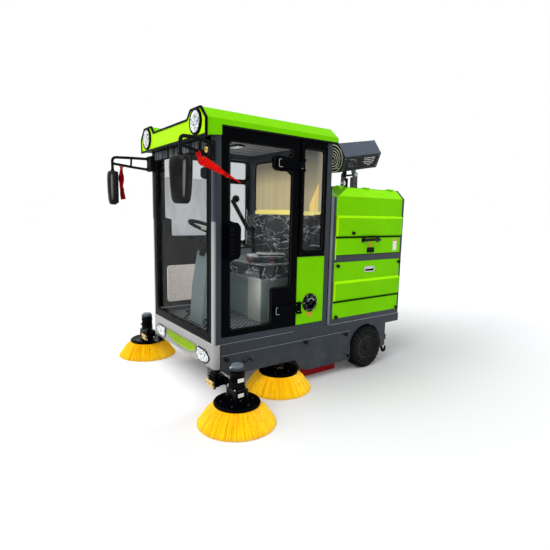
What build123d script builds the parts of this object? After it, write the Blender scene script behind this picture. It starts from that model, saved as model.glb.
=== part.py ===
"""Ride-on floor sweeper with a closed cab: one STEP file per sub-part, in millimetres.

While it is drawn, x runs to the vehicle's left, y runs back from the front panel and z is
up from the floor. export_nodes() then slides everything along y, so that the origin ends
on the floor, under the middle of the whole machine's box.
"""

import math
import os

from build123d import *

# ---------------------------------------------------------------- driving dimensions
ORIGIN_Y = 910                 # the origin, measured back from the front panel
SIDE_X = 578.6                 # half the body's width
GAP = 6                        # clearance round doors, hatches and the rear gate
WALL = 25                      # doors, panels and cab walls
GLASS_X = (SIDE_X - 15, SIDE_X - 9)    # glass in the cab's sides

# heights
BUMPER_Z = 274                 # lower edge of the front panel
SILL_Z = 455                   # top of the chassis, underside of the cab floor
CAB_FLOOR_Z = 470
DOOR_Z = (506, 1937)
ROOF_EDGE_Z = 1943             # lower edge of the roof's sides
ROOF_CREASE_Z = 1980
ROOF_TOP_Z = 2050
ROOF_TROUGH_Z = 1998

# lengths
CAB_REAR_Y = 1030
ROOF_REAR_Y = 1095
BOX_FRONT_Y = 1063             # rear body box, front face of its front posts
BODY_REAR_Y = 2000
DOOR_Y = (58, 718)
QUARTER_Y = (736, 1003)

# rear body box
BOX_EDGE_Z = 1532              # where the side turns into the sloping shoulder
BOX_TOP_Z = 1612
BOX_RIDGE_X = 498
BAND_Z = (985, 1037)           # band between the upper and the lower side panels

# running gear
BEAM_X = (300, 345)            # a chassis beam, on either side
BEAM_Y = (60, 1960)
BEAM_Z = (395, SILL_Z)
CROSS_Y = (70, 790, 1310, 1900)        # front face of each cross member
WHEEL_R = 192
TYRE_WIDTH = 125
REAR_WHEEL_Y = 1545
REAR_WHEEL_X = 549.5           # middle of a rear tyre
FRONT_WHEEL_Y = 430
AXLE_R = 15
RUNNING_FIT = 0.05             # radial clearance of a shaft in its bore

# side brushes
BRUSH_R = 262                  # at the floor
BRUSH_PLATE_R = 153
BRUSH_PLATE_Z = 148
BRUSH_LIFT = 3                 # bristle ends above the floor
FRONT_BRUSH = (842, 27)        # x, y of a front side brush
MID_BRUSH = (519, 606)
ARM_PIVOT = (512, 232)         # x, z of the pin that a front brush arm lifts about
SPINDLE_R = 12

# main roller brush
ROLLER_Y, ROLLER_Z = 1080, 165
ROLLER_R = 158
ROLLER_HALF = 400

# mist cannon on the rear body box
CANNON_PIVOT = (1840, 1775)    # y, z of the tilting pin
CANNON_R = 155                 # from the axis to a corner of the six-sided housing
CANNON_AXIS_Z = 1956           # height of the housing's axis while it is level
CANNON_Y = (1638, 2160)        # both ends while it is level
CANNON_FAN_Y = 1702
CANNON_TILT = 9.7              # degrees, rear end up, as it is parked
CANNON_FLAT = CANNON_R * math.cos(math.radians(30))    # from the axis to a flat side

# steering
STEER_RAKE = 22                # the steering shaft leans back from the vertical, degrees
STEER_HUB = (0, 285, 1235)     # centre of the steering wheel
STEER_R = 188


# ---------------------------------------------------------------- small helpers
def block(x, y, z):
    """A box from three (low, high) pairs."""
    size = [high - low for low, high in (x, y, z)]
    centre = [(low + high) / 2 for low, high in (x, y, z)]
    return Pos(*centre) * Box(*size)


def outline(points, radius=0):
    """A closed straight-sided face, with every corner rounded when a radius is given."""
    face = make_face(Polyline(*points, close=True))
    return fillet(face.vertices(), radius) if radius else face


def side_plate(face, x):
    """A face drawn in (y, z), made into a plate between two x places."""
    return extrude(Plane.YZ.offset(x[0]) * face, amount=x[1] - x[0])


def front_plate(face, y):
    """A face drawn in (x, z), made into a plate between two y places."""
    return extrude(Plane.XZ.offset(-y[1]) * face, amount=y[1] - y[0])


def flat_plate(face, z):
    """A face drawn in (x, y), made into a plate between two heights."""
    return extrude(Plane.XY.offset(z[0]) * face, amount=z[1] - z[0])


def rod(start, end, radius):
    """A round bar between two points."""
    path = Vector(*end) - Vector(*start)
    plane = Plane(origin=start, z_dir=path)
    return extrude(plane * Circle(radius), amount=path.length)


def bent_tube(points, bend, radius):
    """A round tube along straight runs joined by bends."""
    path = FilletPolyline(*points, radius=bend)
    section = Plane(origin=path @ 0, z_dir=path % 0) * Circle(radius)
    return sweep(section, path=path)


def x_disc(x, y, z, radius):
    """A round disc on the x axis between two x places."""
    return rod((x[0], y, z), (x[1], y, z), radius)


def z_disc(x, y, z, radius):
    return rod((x, y, z[0]), (x, y, z[1]), radius)


def span(side, low, high):
    """The x range from low to high on the left (side 1) or on the right (side -1)."""
    return tuple(sorted((side * low, side * high)))


def other_side(shape):
    return mirror(shape, about=Plane.YZ)


def together(*shapes):
    """Separate solids that share one node."""
    return Compound([solid for shape in shapes for solid in shape.solids()])


def both_sides(shape):
    """The shape on the left and its twin on the right, as two solids of one node."""
    return together(shape, other_side(shape))


def round_profile(points, at, radius=0):
    """A profile drawn in (radius, height), turned about the vertical axis through at."""
    face = outline(points, radius)
    return Pos(at[0], at[1], 0) * revolve(Plane.XZ * face, axis=Axis.Z)


# ---------------------------------------------------------------- chassis
def chassis_frame():
    """Two box beams, with cross members between them and outriggers outside them."""
    members = [block(span(side, *BEAM_X), BEAM_Y, BEAM_Z) for side in (-1, 1)]
    for y in CROSS_Y:
        depth = (y, y + 60)
        members.append(block((-BEAM_X[0], BEAM_X[0]), depth, BEAM_Z))
        members += [block(span(side, BEAM_X[1], 548), depth, BEAM_Z) for side in (-1, 1)]
    # head plate that carries the steering bearing
    head = block((-BEAM_X[0], BEAM_X[0]), (FRONT_WHEEL_Y - 80, FRONT_WHEEL_Y + 80), (430, SILL_Z))
    head -= z_disc(0, FRONT_WHEEL_Y, (400, 500), 24 + RUNNING_FIT)
    return together(*members, head)


def chassis_brackets():
    """Rear axle with its hangers, the lugs and pins of the brush arms, the towing plate."""
    axle = x_disc((-REAR_WHEEL_X - 52, REAR_WHEEL_X + 52), REAR_WHEEL_Y, WHEEL_R, AXLE_R)
    axle += block((-440, 440), (REAR_WHEEL_Y - 32, REAR_WHEEL_Y + 32), (WHEEL_R - 32, WHEEL_R + 32))
    for side in (-1, 1):
        axle += block(span(side, 300, 345), (REAR_WHEEL_Y - 35, REAR_WHEEL_Y + 35),
                      (WHEEL_R + 30, BEAM_Z[0]))
    x, z = ARM_PIVOT
    lug_x = (x - 30, x + 30)
    lug = block(lug_x, (-6, 122), (262, BUMPER_Z)) + block(lug_x, (100, 122), (262, BEAM_Z[0]))
    for y in (-6, 46):
        lug += side_plate(outline([(y, 206), (y + 12, 206), (y + 12, 266), (y, 266)]), lug_x)
    lug += rod((x, -10, z), (x, 62, z), SPINDLE_R)
    tow = side_plate(outline([(1955, 395), (1955, 250), (2012, 250), (2022, 395)]), (330, 342))
    tow += block(BEAM_X, (1948, 1960), (250, BEAM_Z[0]))
    tow -= x_disc((320, 350), 1984, 286, 13)
    return together(axle, both_sides(lug), tow)


def front_bumper():
    """The light grey lower front panel, wrapped round both corners."""
    depth = 46
    plan = outline(
        [(-SIDE_X, depth), (-SIDE_X, 0), (SIDE_X, 0), (SIDE_X, depth)]
    )
    corners = plan.vertices().sort_by(Axis.Y)[:2]
    plan = fillet(corners, 32)
    inner = outline(
        [(-SIDE_X + 30, depth), (-SIDE_X + 30, 22), (SIDE_X - 30, 22), (SIDE_X - 30, depth)]
    )
    panel = flat_plate(plan - inner, (BUMPER_Z, SILL_Z))
    panel -= front_plate(grille_outline(), (-5, 40))
    for lamp in headlamp_outlines():
        panel -= front_plate(lamp, (-5, 40))
    return panel


def grille_outline(inset=0):
    """The wide shallow grille: straight top, lower edge drawn up at both ends."""
    half, low_half = 285 - inset, 150 - inset / 2
    top, low, end = 392 - inset, 302 + inset, 338 + inset / 2
    return outline(
        [(-half, top), (half, top), (half, end), (low_half, low), (-low_half, low), (-half, end)],
        12,
    )


def headlamp_outlines(inset=0):
    lamp = outline(
        [
            (318 + inset, 290 + inset),
            (452 - inset, 290 + inset),
            (513 - inset, 338),
            (452 - inset, 387 - inset),
            (302 + inset, 387 - inset),
        ],
        24,
    )
    return lamp, mirror(lamp, about=Plane.YZ)


def front_grille():
    """Honeycomb grille: a rim round rows of six-sided holes, each row offset by half a cell."""
    face = grille_outline(0.5)
    pitch, row = 20, 20 * math.sin(math.radians(60))
    cells = []
    for j in range(-3, 3):
        for i in range(-15, 16):
            cells.append(Pos((i + j % 2 / 2) * pitch, 347 + j * row) * RegularPolygon(9.4, 6, rotation=30))
    holes = Sketch() + cells
    return front_plate(face - (holes & grille_outline(9)), (6, 14))


def front_lamps():
    """Two headlamps in the bumper and two round work lamps in the roof's front face."""
    head = front_plate(headlamp_outlines(0.5)[0], (-4, 30))
    work = rod((455, ROOF_FACE_Y - 8, 1965), (455, ROOF_FACE_Y + 30, 1965), 82)
    return both_sides(head + work)


def side_skirts():
    """The chassis side panels, with the notch behind the mid brush and the wheel arch."""
    upper = outline(
        [(48, 372), (48, SILL_Z), (BODY_REAR_Y, SILL_Z), (BODY_REAR_Y, 377), (1818, 377),
         (1818, 160), (1343, 106), (1343, 372)]
    )
    panel = side_plate(upper, (SIDE_X - WALL, SIDE_X))
    cover = outline(
        [(48, 372), (48, 218), (722, 218), (790, 132), (860, 108), (1343, 106), (1343, 372)]
    )
    panel += side_plate(cover, (SIDE_X - WALL + 8, SIDE_X + 5))
    panel -= x_disc((SIDE_X - 60, SIDE_X + 60), REAR_WHEEL_Y, WHEEL_R, WHEEL_R + 16)
    return both_sides(panel)


# ---------------------------------------------------------------- cab
def cab_frame():
    """Corner pillars, door posts, sills and the ring of rails under the roof."""
    pillar_top = 1940
    left = []
    corner = outline(
        [(SIDE_X - 46, 0), (SIDE_X, 0), (SIDE_X, 50), (SIDE_X - 30, 50), (SIDE_X - 30, 30),
         (SIDE_X - 46, 30)]
    )
    outer = [v for v in corner.vertices() if v.X > SIDE_X - 1 and v.Y < 1]
    left.append(flat_plate(fillet(outer, 28), (SILL_Z, pillar_top)))
    inner_x = (SIDE_X - 75, SIDE_X - 31)
    left.append(block(inner_x, (700, 752), (CAB_FLOOR_Z, pillar_top)))
    left.append(block(inner_x, (48, 1003), (1880, pillar_top)))
    left.append(block((SIDE_X - 32, SIDE_X), (48, 1003), (SILL_Z, DOOR_Z[0] - GAP)))
    left.append(block((SIDE_X - 75, SIDE_X), (1003, CAB_REAR_Y), (SILL_Z, pillar_top)))
    side = left[0]
    for piece in left[1:]:
        side += piece
    front_rail = block((-SIDE_X + 46, SIDE_X - 46), (2, 48), (1880, pillar_top))
    rear_rail = block((-SIDE_X + 75, SIDE_X - 75), (1003, CAB_REAR_Y), (1880, pillar_top))
    return side + other_side(side) + front_rail + rear_rail


def cab_tub():
    """Cab floor, and the bulkhead behind the seat with the rear window's opening."""
    floor = block((-SIDE_X + 32, SIDE_X - 32), (30, CAB_REAR_Y - 28), (SILL_Z, CAB_FLOOR_Z))
    wall = block((-SIDE_X + 75, SIDE_X - 75), (1005, 1025), (CAB_FLOOR_Z, 1880))
    return together(floor, wall - front_plate(rear_window(), (990, 1040)))


def rear_window(inset=0):
    return outline(
        [(-450 + inset, 1395 + inset), (450 - inset, 1395 + inset), (450 - inset, 1850 - inset),
         (-450 + inset, 1850 - inset)],
        45 - inset / 2,
    )


def windshield_opening(inset=0):
    return outline(
        [(-472 + inset, 520 + inset), (472 - inset, 520 + inset), (472 - inset, 1850 - inset),
         (-472 + inset, 1850 - inset)],
        42 - inset / 2,
    )


def quarter_openings(side, inset=0):
    """The quarter window: one tall pane on the left, two panes with a bar on the right."""
    heights = [(1095, 1868)] if side > 0 else [(1095, 1662), (1700, 1868)]
    return [
        outline([(766 + inset, low + inset), (972 - inset, low + inset), (972 - inset, high - inset),
                 (766 + inset, high - inset)], 30 - inset / 2)
        for low, high in heights
    ]


def side_window(faces, x):
    """The panes of a side window, drawn in (y, z), as one set of plates."""
    return together(*[side_plate(face, x) for face in faces])


def window_frames():
    """Black surrounds of the windshield and of both quarter windows."""
    surround = front_plate(
        outline([(-530, 463), (530, 463), (530, 1878), (-530, 1878)], 12), (2, 20)
    )
    surround -= front_plate(windshield_opening(), (-5, 30))
    left, right = [quarter_frame(side) for side in (1, -1)]
    return together(surround, left, other_side(right))


def quarter_frame(side):
    """A quarter window's frame with the fixed halves of the door hinges, drawn on the left."""
    y0, y1 = QUARTER_Y
    frame = side_plate(
        outline([(y0, 1050), (y1, 1050), (y1, DOOR_Z[1]), (y0, DOOR_Z[1])], 8),
        (SIDE_X - WALL, SIDE_X),
    )
    for face in quarter_openings(side):
        frame -= side_plate(face, (SIDE_X - 50, SIDE_X + 20))
    return together(frame + door_hinge_halves())


def fixed_glass():
    """Windshield, both quarter windows and the rear window."""
    windshield = front_plate(windshield_opening(-12), (20, 26))
    rear = front_plate(rear_window(1), (1012, 1018))
    left, right = [side_window(quarter_openings(side, 1), GLASS_X) for side in (1, -1)]
    return together(windshield, rear, left, other_side(right))


def cab_side_panels():
    """The green panels under the quarter windows."""
    panel = side_plate(outline([(724, 504), (1003, 504), (1003, 1044), (724, 1044)], 4),
                       (SIDE_X - WALL, SIDE_X))
    return both_sides(panel)


# the roof's front face stands ahead of the cab
ROOF_FACE_Y = -71
ROOF_HALF = [(600, ROOF_EDGE_Z), (592, ROOF_CREASE_Z), (530, ROOF_TOP_Z), (373, ROOF_TOP_Z),
             (320, ROOF_TROUGH_Z)]


def cab_roof():
    """Roof moulding: raised ridges along both sides, a lower trough between them."""
    top = ROOF_HALF + [(-x, z) for x, z in reversed(ROOF_HALF)]
    outer = front_plate(outline(top), (ROOF_FACE_Y + 12, ROOF_REAR_Y))
    wall = 14
    inner = [(600 - wall, ROOF_EDGE_Z - 5), (592 - wall, ROOF_CREASE_Z - 6),
             (530 - 7, ROOF_TOP_Z - wall), (373 + 6, ROOF_TOP_Z - wall),
             (320 + 6, ROOF_TROUGH_Z - wall)]
    inner = inner + [(-x, z) for x, z in reversed(inner)]
    shell = outer - front_plate(outline(inner), (ROOF_FACE_Y + 30, ROOF_REAR_Y - wall))
    # the rear end slopes down
    slope = side_plate(
        outline([(1066, ROOF_TOP_Z + 1), (ROOF_REAR_Y + 1, ROOF_CREASE_Z - 4),
                 (ROOF_REAR_Y + 1, ROOF_TOP_Z + 1)]), (-620, 620))
    shell -= slope
    face = [(600, 1865), (602, 1975), (522, ROOF_TOP_Z + 4), (371, ROOF_TOP_Z + 4),
            (318, ROOF_TROUGH_Z + 2)]
    face = face + [(-x, z) for x, z in reversed(face)]
    fascia = front_plate(outline(face, 6), (ROOF_FACE_Y, ROOF_FACE_Y + 18))
    # cheeks that close the fascia's lower corners back to the cab
    cheek = side_plate(
        outline([(ROOF_FACE_Y + 12, 1868), (44, 1878), (44, 1945), (ROOF_FACE_Y + 12, 1945)]),
        (586, 600))
    roof = shell + fascia + cheek + other_side(cheek)
    for side in (-1, 1):
        roof -= rod((455 * side, ROOF_FACE_Y - 20, 1965), (455 * side, ROOF_FACE_Y + 40, 1965), 82.5)
    return roof


# ---------------------------------------------------------------- doors
def door_outline():
    return outline([(DOOR_Y[0], DOOR_Z[0]), (DOOR_Y[1], DOOR_Z[0]), (DOOR_Y[1], DOOR_Z[1]),
                    (DOOR_Y[0], DOOR_Z[1])], 14)


def door_openings(side, inset=0):
    """The clear glass, stepped round the lower hinge and notched round the handle.

    The right door has a solid band across its middle, so its glass is in two panes.
    """
    low, high, band = 550 + inset, 1850 - inset, (890 - inset, 1155 + inset)
    front, rear = 122 + inset, 655 - inset
    notch = [(110 + inset, high), (110 + inset, 1318 + inset), (166 + inset, 1306 + inset)]
    if side > 0:
        panes = [[(front, low), (480 - inset, low), (480 - inset, 822 + inset), (rear, 822 + inset),
                  (rear, high)] + notch + [(166 + inset, 1056 - inset), (front - 4, 1044 - inset)]]
    else:
        panes = [[(front, low), (480 - inset, low), (480 - inset, band[0]), (front, band[0])],
                 [(166 + inset, band[1]), (rear, band[1]), (rear, high)] + notch]
    return [outline(pane, 24 - inset / 2) for pane in panes]


HINGE = (598, 728)             # x, y of a door's hinge pin
HINGE_Z = ((1705, 1775), (610, 680))


def door(side):
    """Black door frame with its window cut, hinge straps and outside handle."""
    panel = side_plate(door_outline(), (SIDE_X - WALL, SIDE_X))
    for face in door_openings(side):
        panel -= side_plate(face, (SIDE_X - 50, SIDE_X + 20))
    for z in HINGE_Z:
        strap = side_plate(
            outline([(505, z[0]), (700, z[0]), (700, z[1]), (505, z[1])], 14), (SIDE_X - 2, SIDE_X + 18)
        )
        knuckle = z_disc(HINGE[0], HINGE[1], (z[0] + 12, z[1] - 12), 11)
        link = block((HINGE[0] - 8, HINGE[0] + 8), (690, HINGE[1]), (z[0] + 12, z[1] - 12))
        panel += strap + link + knuckle
        panel -= z_disc(HINGE[0], HINGE[1], (z[0], z[1]), 6 + RUNNING_FIT)
    grip = bent_tube([(SIDE_X - 5, 100, 1285), (SIDE_X + 42, 100, 1285), (SIDE_X + 42, 100, 1075),
                      (SIDE_X - 5, 100, 1075)], 18, 10)
    lock = side_plate(outline([(78, 1060), (152, 1060), (152, 1300), (78, 1300)], 20),
                      (SIDE_X - 2, SIDE_X + 6))
    return panel + grip + lock


def door_glass(side):
    return side_window(door_openings(side, 1), GLASS_X)


def door_hinge_halves():
    """The fixed halves of a door's hinges, with their pins, on its quarter window frame."""
    halves = None
    for z0, z1 in HINGE_Z:
        plate = side_plate(outline([(742, z0 - 12), (764, z0 - 12), (764, z1 + 12), (742, z1 + 12)], 6),
                           (SIDE_X, SIDE_X + 12))
        pin = z_disc(HINGE[0], HINGE[1], (z0 - 8, z1 + 8), 6)
        piece = plate + pin
        for z in ((z0 - 10, z0 + 6), (z1 - 6, z1 + 10)):
            piece += block((SIDE_X + 4, HINGE[0] + 8), (HINGE[1] - 9, 760), z)
        halves = piece if halves is None else halves + piece
    return halves


# ---------------------------------------------------------------- mirrors and ribbons
def mirrors():
    """Brackets on the front pillars, tube loops, and the tapering housings that they carry."""
    bracket = block((548, 590), (-34, 0), (1712, 1838))
    top = bent_tube([(575, -30, 1818), (672, -150, 1826), (700, -292, 1822), (700, -292, 1700)],
                    34, 7)
    low = bent_tube([(575, -30, 1730), (640, -120, 1744), (700, -286, 1770)], 30, 7)
    brace = rod((655, -150, 1740), (662, -143, 1824), 5)
    # sections of the housing from its foot up: height, width, depth, corner radius
    sections = [(1450, 84, 44, 20), (1590, 124, 70, 26), (1706, 116, 62, 24)]
    shell = loft([Plane.XY.offset(z) * RectangleRounded(w, d, r) for z, w, d, r in sections])
    return both_sides(bracket + top + low + brace + Pos(700, -292, 0) * shell)


def ribbons():
    """Knotted ribbons on the mirror arms: the left one is blown out, the right one hangs."""
    left = bent_tube([(662, -160, 1726), (705, -112, 1680), (795, -20, 1606)], 40, 9)
    right = bent_tube([(-662, -160, 1726), (-664, -162, 1610), (-656, -158, 1485)], 60, 9)
    return together(left, right)


# ---------------------------------------------------------------- driver's place
def console():
    """Front pedestal that carries the steering column."""
    side = outline([(60, CAB_FLOOR_Z), (250, CAB_FLOOR_Z), (215, 1070), (150, 1085), (90, 1070)], 10)
    pedestal = side_plate(side, (-110, 110))
    lean = math.radians(STEER_RAKE)
    axis = Vector(0, math.sin(lean), math.cos(lean))
    foot = Vector(*STEER_HUB) - axis * 260
    head = Vector(*STEER_HUB) - axis * 40
    column = rod((foot.X, foot.Y, foot.Z), (head.X, head.Y, head.Z), 34)
    bore = rod((foot.X, foot.Y, foot.Z), STEER_HUB, 14 + RUNNING_FIT)
    return pedestal + column - bore


def steering_wheel():
    rim = Torus(STEER_R, 14)
    hub = Cylinder(42, 34)
    spokes = Box(2 * STEER_R - 10, 30, 12) + Pos(0, -STEER_R / 2, 0) * Box(30, STEER_R - 10, 12)
    shaft = Pos(0, 0, -110) * Cylinder(14, 200)
    wheel = rim + hub + spokes + shaft
    return Pos(*STEER_HUB) * Rot(-STEER_RAKE, 0, 0) * wheel


def seat_base():
    """Seat box, with the control box beside it."""
    return together(block((-290, 290), (590, 985), (CAB_FLOOR_Z, 862)),
                    block((-440, -340), (600, 900), (CAB_FLOOR_Z, 1040)))


def seat_cushion():
    return Pos(0, 712, 915) * Box(660, 500, 100)


def seat_back():
    return Pos(0, 966, 1170) * Box(960, 64, 400)


def control_lever():
    """Hand lever with a ball grip, on a post over the control box beside the seat."""
    x = -346
    post = block((x - 12, x + 12), (900, 924), (CAB_FLOOR_Z, 1222))
    pivot, elbow, top = (x, 902, 1226), (x, 742, 1400), (x, 705, 1512)
    lever = post + rod(pivot, elbow, 8) + rod(elbow, top, 8)
    for centre, radius in ((pivot, 15), (elbow, 8), (top, 17)):
        lever += Pos(*centre) * Sphere(radius)
    return lever


# ---------------------------------------------------------------- rear body box
def box_section(inset=0):
    """The rear box seen from behind: upright sides with sloping shoulders."""
    x, ridge = SIDE_X - inset, BOX_RIDGE_X - inset * 0.4
    edge, top = BOX_EDGE_Z - inset * 0.4, BOX_TOP_Z - inset
    return outline([(-x, SILL_Z), (x, SILL_Z), (x, edge), (ridge, top), (-ridge, top), (-x, edge)])


def rear_frame():
    """Front and rear portals of the box, its side rails and the deck between the levels."""
    portal_front = front_plate(box_section(), (BOX_FRONT_Y, 1117))
    corner_edges = portal_front.edges().filter_by(Axis.Z).group_by(Axis.Y)[0]
    portal_front = fillet(corner_edges, 16)
    portal_front -= front_plate(box_section(45), (BOX_FRONT_Y + 8, 1120))
    portal_rear = front_plate(box_section(), (1966, 1988)) - front_plate(box_section(45), (1960, 1990))
    bottom = block((-SIDE_X, SIDE_X), (1117, 1966), (SILL_Z, 497))
    bottom -= block((-500, 500), (1160, 1920), (440, 500))
    deck = block((-533, 533), (1071, 1988), (BAND_Z[0], BAND_Z[0] + 16))
    band = block((SIDE_X - WALL, SIDE_X), (1110, 1970), BAND_Z)
    band += block((530, SIDE_X - WALL), (1117, 1966), (BAND_Z[0], BAND_Z[0] + 16))
    frame = portal_front + portal_rear + bottom + deck + band + other_side(band)
    return frame + gate_hinge_halves()


HATCH_HINGE = (503, 1615)      # x, z of a hatch's hinge pin, along the ridge
KNUCKLE_R = 5.5
HATCH_HINGE_Y = (1220, 1541, 1862)


def hatch_hinge_rod(y, radius):
    """A stretch of a hatch's hinge line between two y places."""
    x, z = HATCH_HINGE
    return rod((x, y[0], z), (x, y[1], z), radius)


def rear_cover():
    """Green top sheet of the box with the hatches' hinge pins, and the upper back panel."""
    top = block((-BOX_RIDGE_X + 2, BOX_RIDGE_X - 2), (1117, 1966), (BOX_TOP_Z - 20, BOX_TOP_Z))
    x, z = HATCH_HINGE
    for y in HATCH_HINGE_Y:
        hinge = hatch_hinge_rod((y - 42, y + 42), 3)
        for ear in ((y - 42, y - 22), (y + 22, y + 42)):
            hinge += hatch_hinge_rod(ear, KNUCKLE_R) + block((x - 24, x), ear, (z - KNUCKLE_R, z))
        top += hinge + other_side(hinge)
    back = front_plate(
        outline([(-530, BAND_Z[1]), (530, BAND_Z[1]), (530, 1510), (478, 1565), (-478, 1565),
                 (-530, 1510)]), (1968, 1986))
    return together(top, back)


def hatch_section():
    """Upper side panel, seen from behind: shoulder, flat side, pressed step, lower flange."""
    return outline(
        [(504, BOX_TOP_Z - 4), (SIDE_X, BOX_EDGE_Z - 2), (SIDE_X, 1372), (SIDE_X + 14, 1358),
         (SIDE_X + 14, 1212), (SIDE_X, 1198), (SIDE_X, BAND_Z[1] + GAP),
         (SIDE_X - 20, BAND_Z[1] + GAP), (SIDE_X - 20, BOX_EDGE_Z - 10), (504, BOX_TOP_Z - 32)]
    )


HATCH_Y = (1117 + GAP, 1966 - GAP)


def hatch():
    """Upper side panel, with its hinge knuckles on the ridge."""
    panel = front_plate(hatch_section(), HATCH_Y)
    x, z = HATCH_HINGE
    for y in HATCH_HINGE_Y:
        panel += block((x, x + 12), (y - 20, y + 20), (z - 18, z))
        panel += hatch_hinge_rod((y - 20, y + 20), KNUCKLE_R)
        panel -= hatch_hinge_rod((y - 21, y + 21), 3 + RUNNING_FIT)
    return panel


def hatch_handle():
    """Pull handle, its latch and a stop knob on the flat of a hatch."""
    grip = bent_tube([(SIDE_X, 1458, 1165), (SIDE_X + 36, 1458, 1165), (SIDE_X + 36, 1646, 1165),
                      (SIDE_X, 1646, 1165)], 16, 10)
    for y in (1458, 1646):
        grip += x_disc((SIDE_X, SIDE_X + 6), y, 1165, 19)
    latch = side_plate(outline([(1512, 1056), (1592, 1056), (1592, 1094), (1512, 1094)], 6),
                       (SIDE_X, SIDE_X + 12))
    knob = x_disc((SIDE_X + 14, SIDE_X + 34), 1313, 1226, 11)
    return together(grip, latch, knob)


def lower_panel_section():
    return outline(
        [(SIDE_X - 20, 500), (SIDE_X, 500), (SIDE_X, 650), (SIDE_X + 14, 664), (SIDE_X + 14, 806),
         (SIDE_X, 820), (SIDE_X, BAND_Z[0] - 3), (SIDE_X - 20, BAND_Z[0] - 3)]
    )


HANDLE_CUP = (1490, 1612, 884, 926)    # y, y, z, z of the flush handle


def cup_outline(inset=0):
    y0, y1, z0, z1 = HANDLE_CUP
    return outline([(y0 + inset, z0 + inset), (y1 - inset, z0 + inset), (y1 - inset, z1 - inset),
                    (y0 + inset, z1 - inset)], 8 - inset / 2)


def rear_side_panels():
    """Lower side panels of the box, each with a hole for its flush handle."""
    panel = front_plate(lower_panel_section(), (1119, 1964))
    return both_sides(panel - side_plate(cup_outline(), (SIDE_X - 25, SIDE_X + 5)))


def panel_fittings():
    """Flush handles and turn knobs of the lower panels, knobs and pull hooks of the skirts."""
    cup = side_plate(cup_outline(0.5), (SIDE_X - 18, SIDE_X + 4))
    cup -= side_plate(cup_outline(6), (SIDE_X - 14, SIDE_X + 9))
    lip = side_plate(cup_outline(6), (SIDE_X - 4, SIDE_X))
    y0, y1, z0, z1 = HANDLE_CUP
    cup += lip & block((500, 700), (y0, y1), (z1 - 18, z1))
    fittings = [cup]
    # y, z and the face that each knob stands on
    for y, z, face in (
        (1151, 516, SIDE_X), (1151, 953, SIDE_X), (1945, 516, SIDE_X), (1945, 953, SIDE_X),
        (93, 340, SIDE_X + 5), (826, 349, SIDE_X + 5), (1283, 346, SIDE_X + 5),
        (1320, 146, SIDE_X + 5),
    ):
        fittings.append(x_disc((face, face + 12), y, z, 8) + x_disc((face + 10, face + 24), y, z, 14))
    face = SIDE_X + 5
    hook = bent_tube([(face, 236, 300), (face + 26, 236, 300), (face + 30, 270, 330),
                      (face + 26, 304, 300), (face, 304, 300)], 8, 5)
    fittings.append(hook)
    return both_sides(together(*fittings))


CAP = (861, 673)               # y, z of the round cap under the left quarter window


def filler_cap():
    """Round cap with a screwed flange, a raised ring and a turning grip."""
    ring = outline([(0, 0), (75, 0), (75, 4), (70, 8), (58, 8), (55, 16), (48, 16), (44, 6), (0, 6)])
    cap = revolve(Plane.XZ * ring, axis=Axis.Z)
    cap += Pos(0, 0, 10) * Box(14, 84, 10)
    cap += Cylinder(16, 18, align=(Align.CENTER, Align.CENTER, Align.MIN))
    for turn in range(0, 360, 60):
        cap += Rot(0, 0, turn) * (Pos(65, 0, 8) * Cylinder(4, 4))
    return Pos(SIDE_X, *CAP) * Rot(0, 90, 0) * Rot(0, 0, 30) * cap


def hopper():
    """Dirt hopper behind the roller: an open steel box, closed by the rear gate."""
    shell = block((-470, 470), (1330, 1960), (SILL_Z + 50, 975))
    return shell - block((-458, 458), (1342, 1970), (SILL_Z + 62, 963))


def battery_pack():
    """The battery, as one plain block between the portal and the hopper."""
    return block((-480, 480), (1125, 1320), (500, 960))


GATE_HINGE = (2006, 968)       # y, z of the rear gate's hinge pin
GATE_X = 528


def rear_gate():
    """Rear gate of the hopper, hinged along its top edge."""
    panel = front_plate(outline([(-GATE_X, 474), (GATE_X, 474), (GATE_X, 952), (-GATE_X, 952)], 10),
                        (1994, 2010))
    panel += front_plate(outline([(-430, 560), (430, 560), (430, 860), (-430, 860)], 30), (2008, 2018))
    for x in (-360, 0, 360):
        panel += rod((x - 30, *GATE_HINGE), (x + 30, *GATE_HINGE), 9)
        panel += block((x - 30, x + 30), (2000, 2010), (945, GATE_HINGE[1]))
    panel -= rod((-500, *GATE_HINGE), (500, *GATE_HINGE), 5 + RUNNING_FIT)
    grip = bent_tube([(-90, 2006, 520), (-90, 2052, 520), (90, 2052, 520), (90, 2006, 520)], 18, 9)
    return panel + grip


def gate_hinge_halves():
    """The fixed knuckles of the gate hinge on the rear portal, with the hinge pin."""
    pieces = None
    for x in (-410, -310, -50, 50, 310, 410):
        ear = block((x - 12, x + 12), (1984, GATE_HINGE[0]), (962, 992))
        ear += rod((x - 12, *GATE_HINGE), (x + 12, *GATE_HINGE), 9)
        pieces = ear if pieces is None else pieces + ear
    return pieces + rod((-422, *GATE_HINGE), (422, *GATE_HINGE), 5)


def tail_lamps():
    return both_sides(block((505, 560), (1988, 2008), (1060, 1200)))


# ---------------------------------------------------------------- wheels and axles
def tyre(width=TYRE_WIDTH, radius=WHEEL_R, inner=102):
    half = width / 2
    face = outline([(inner, -half + 12), (radius - 30, -half), (radius - 6, -half + 8),
                    (radius, -half + 24), (radius, half - 24), (radius - 6, half - 8),
                    (radius - 30, half), (inner, half - 12)])
    return Rot(0, 90, 0) * revolve(Plane.XZ * face, axis=Axis.Z)


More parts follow.
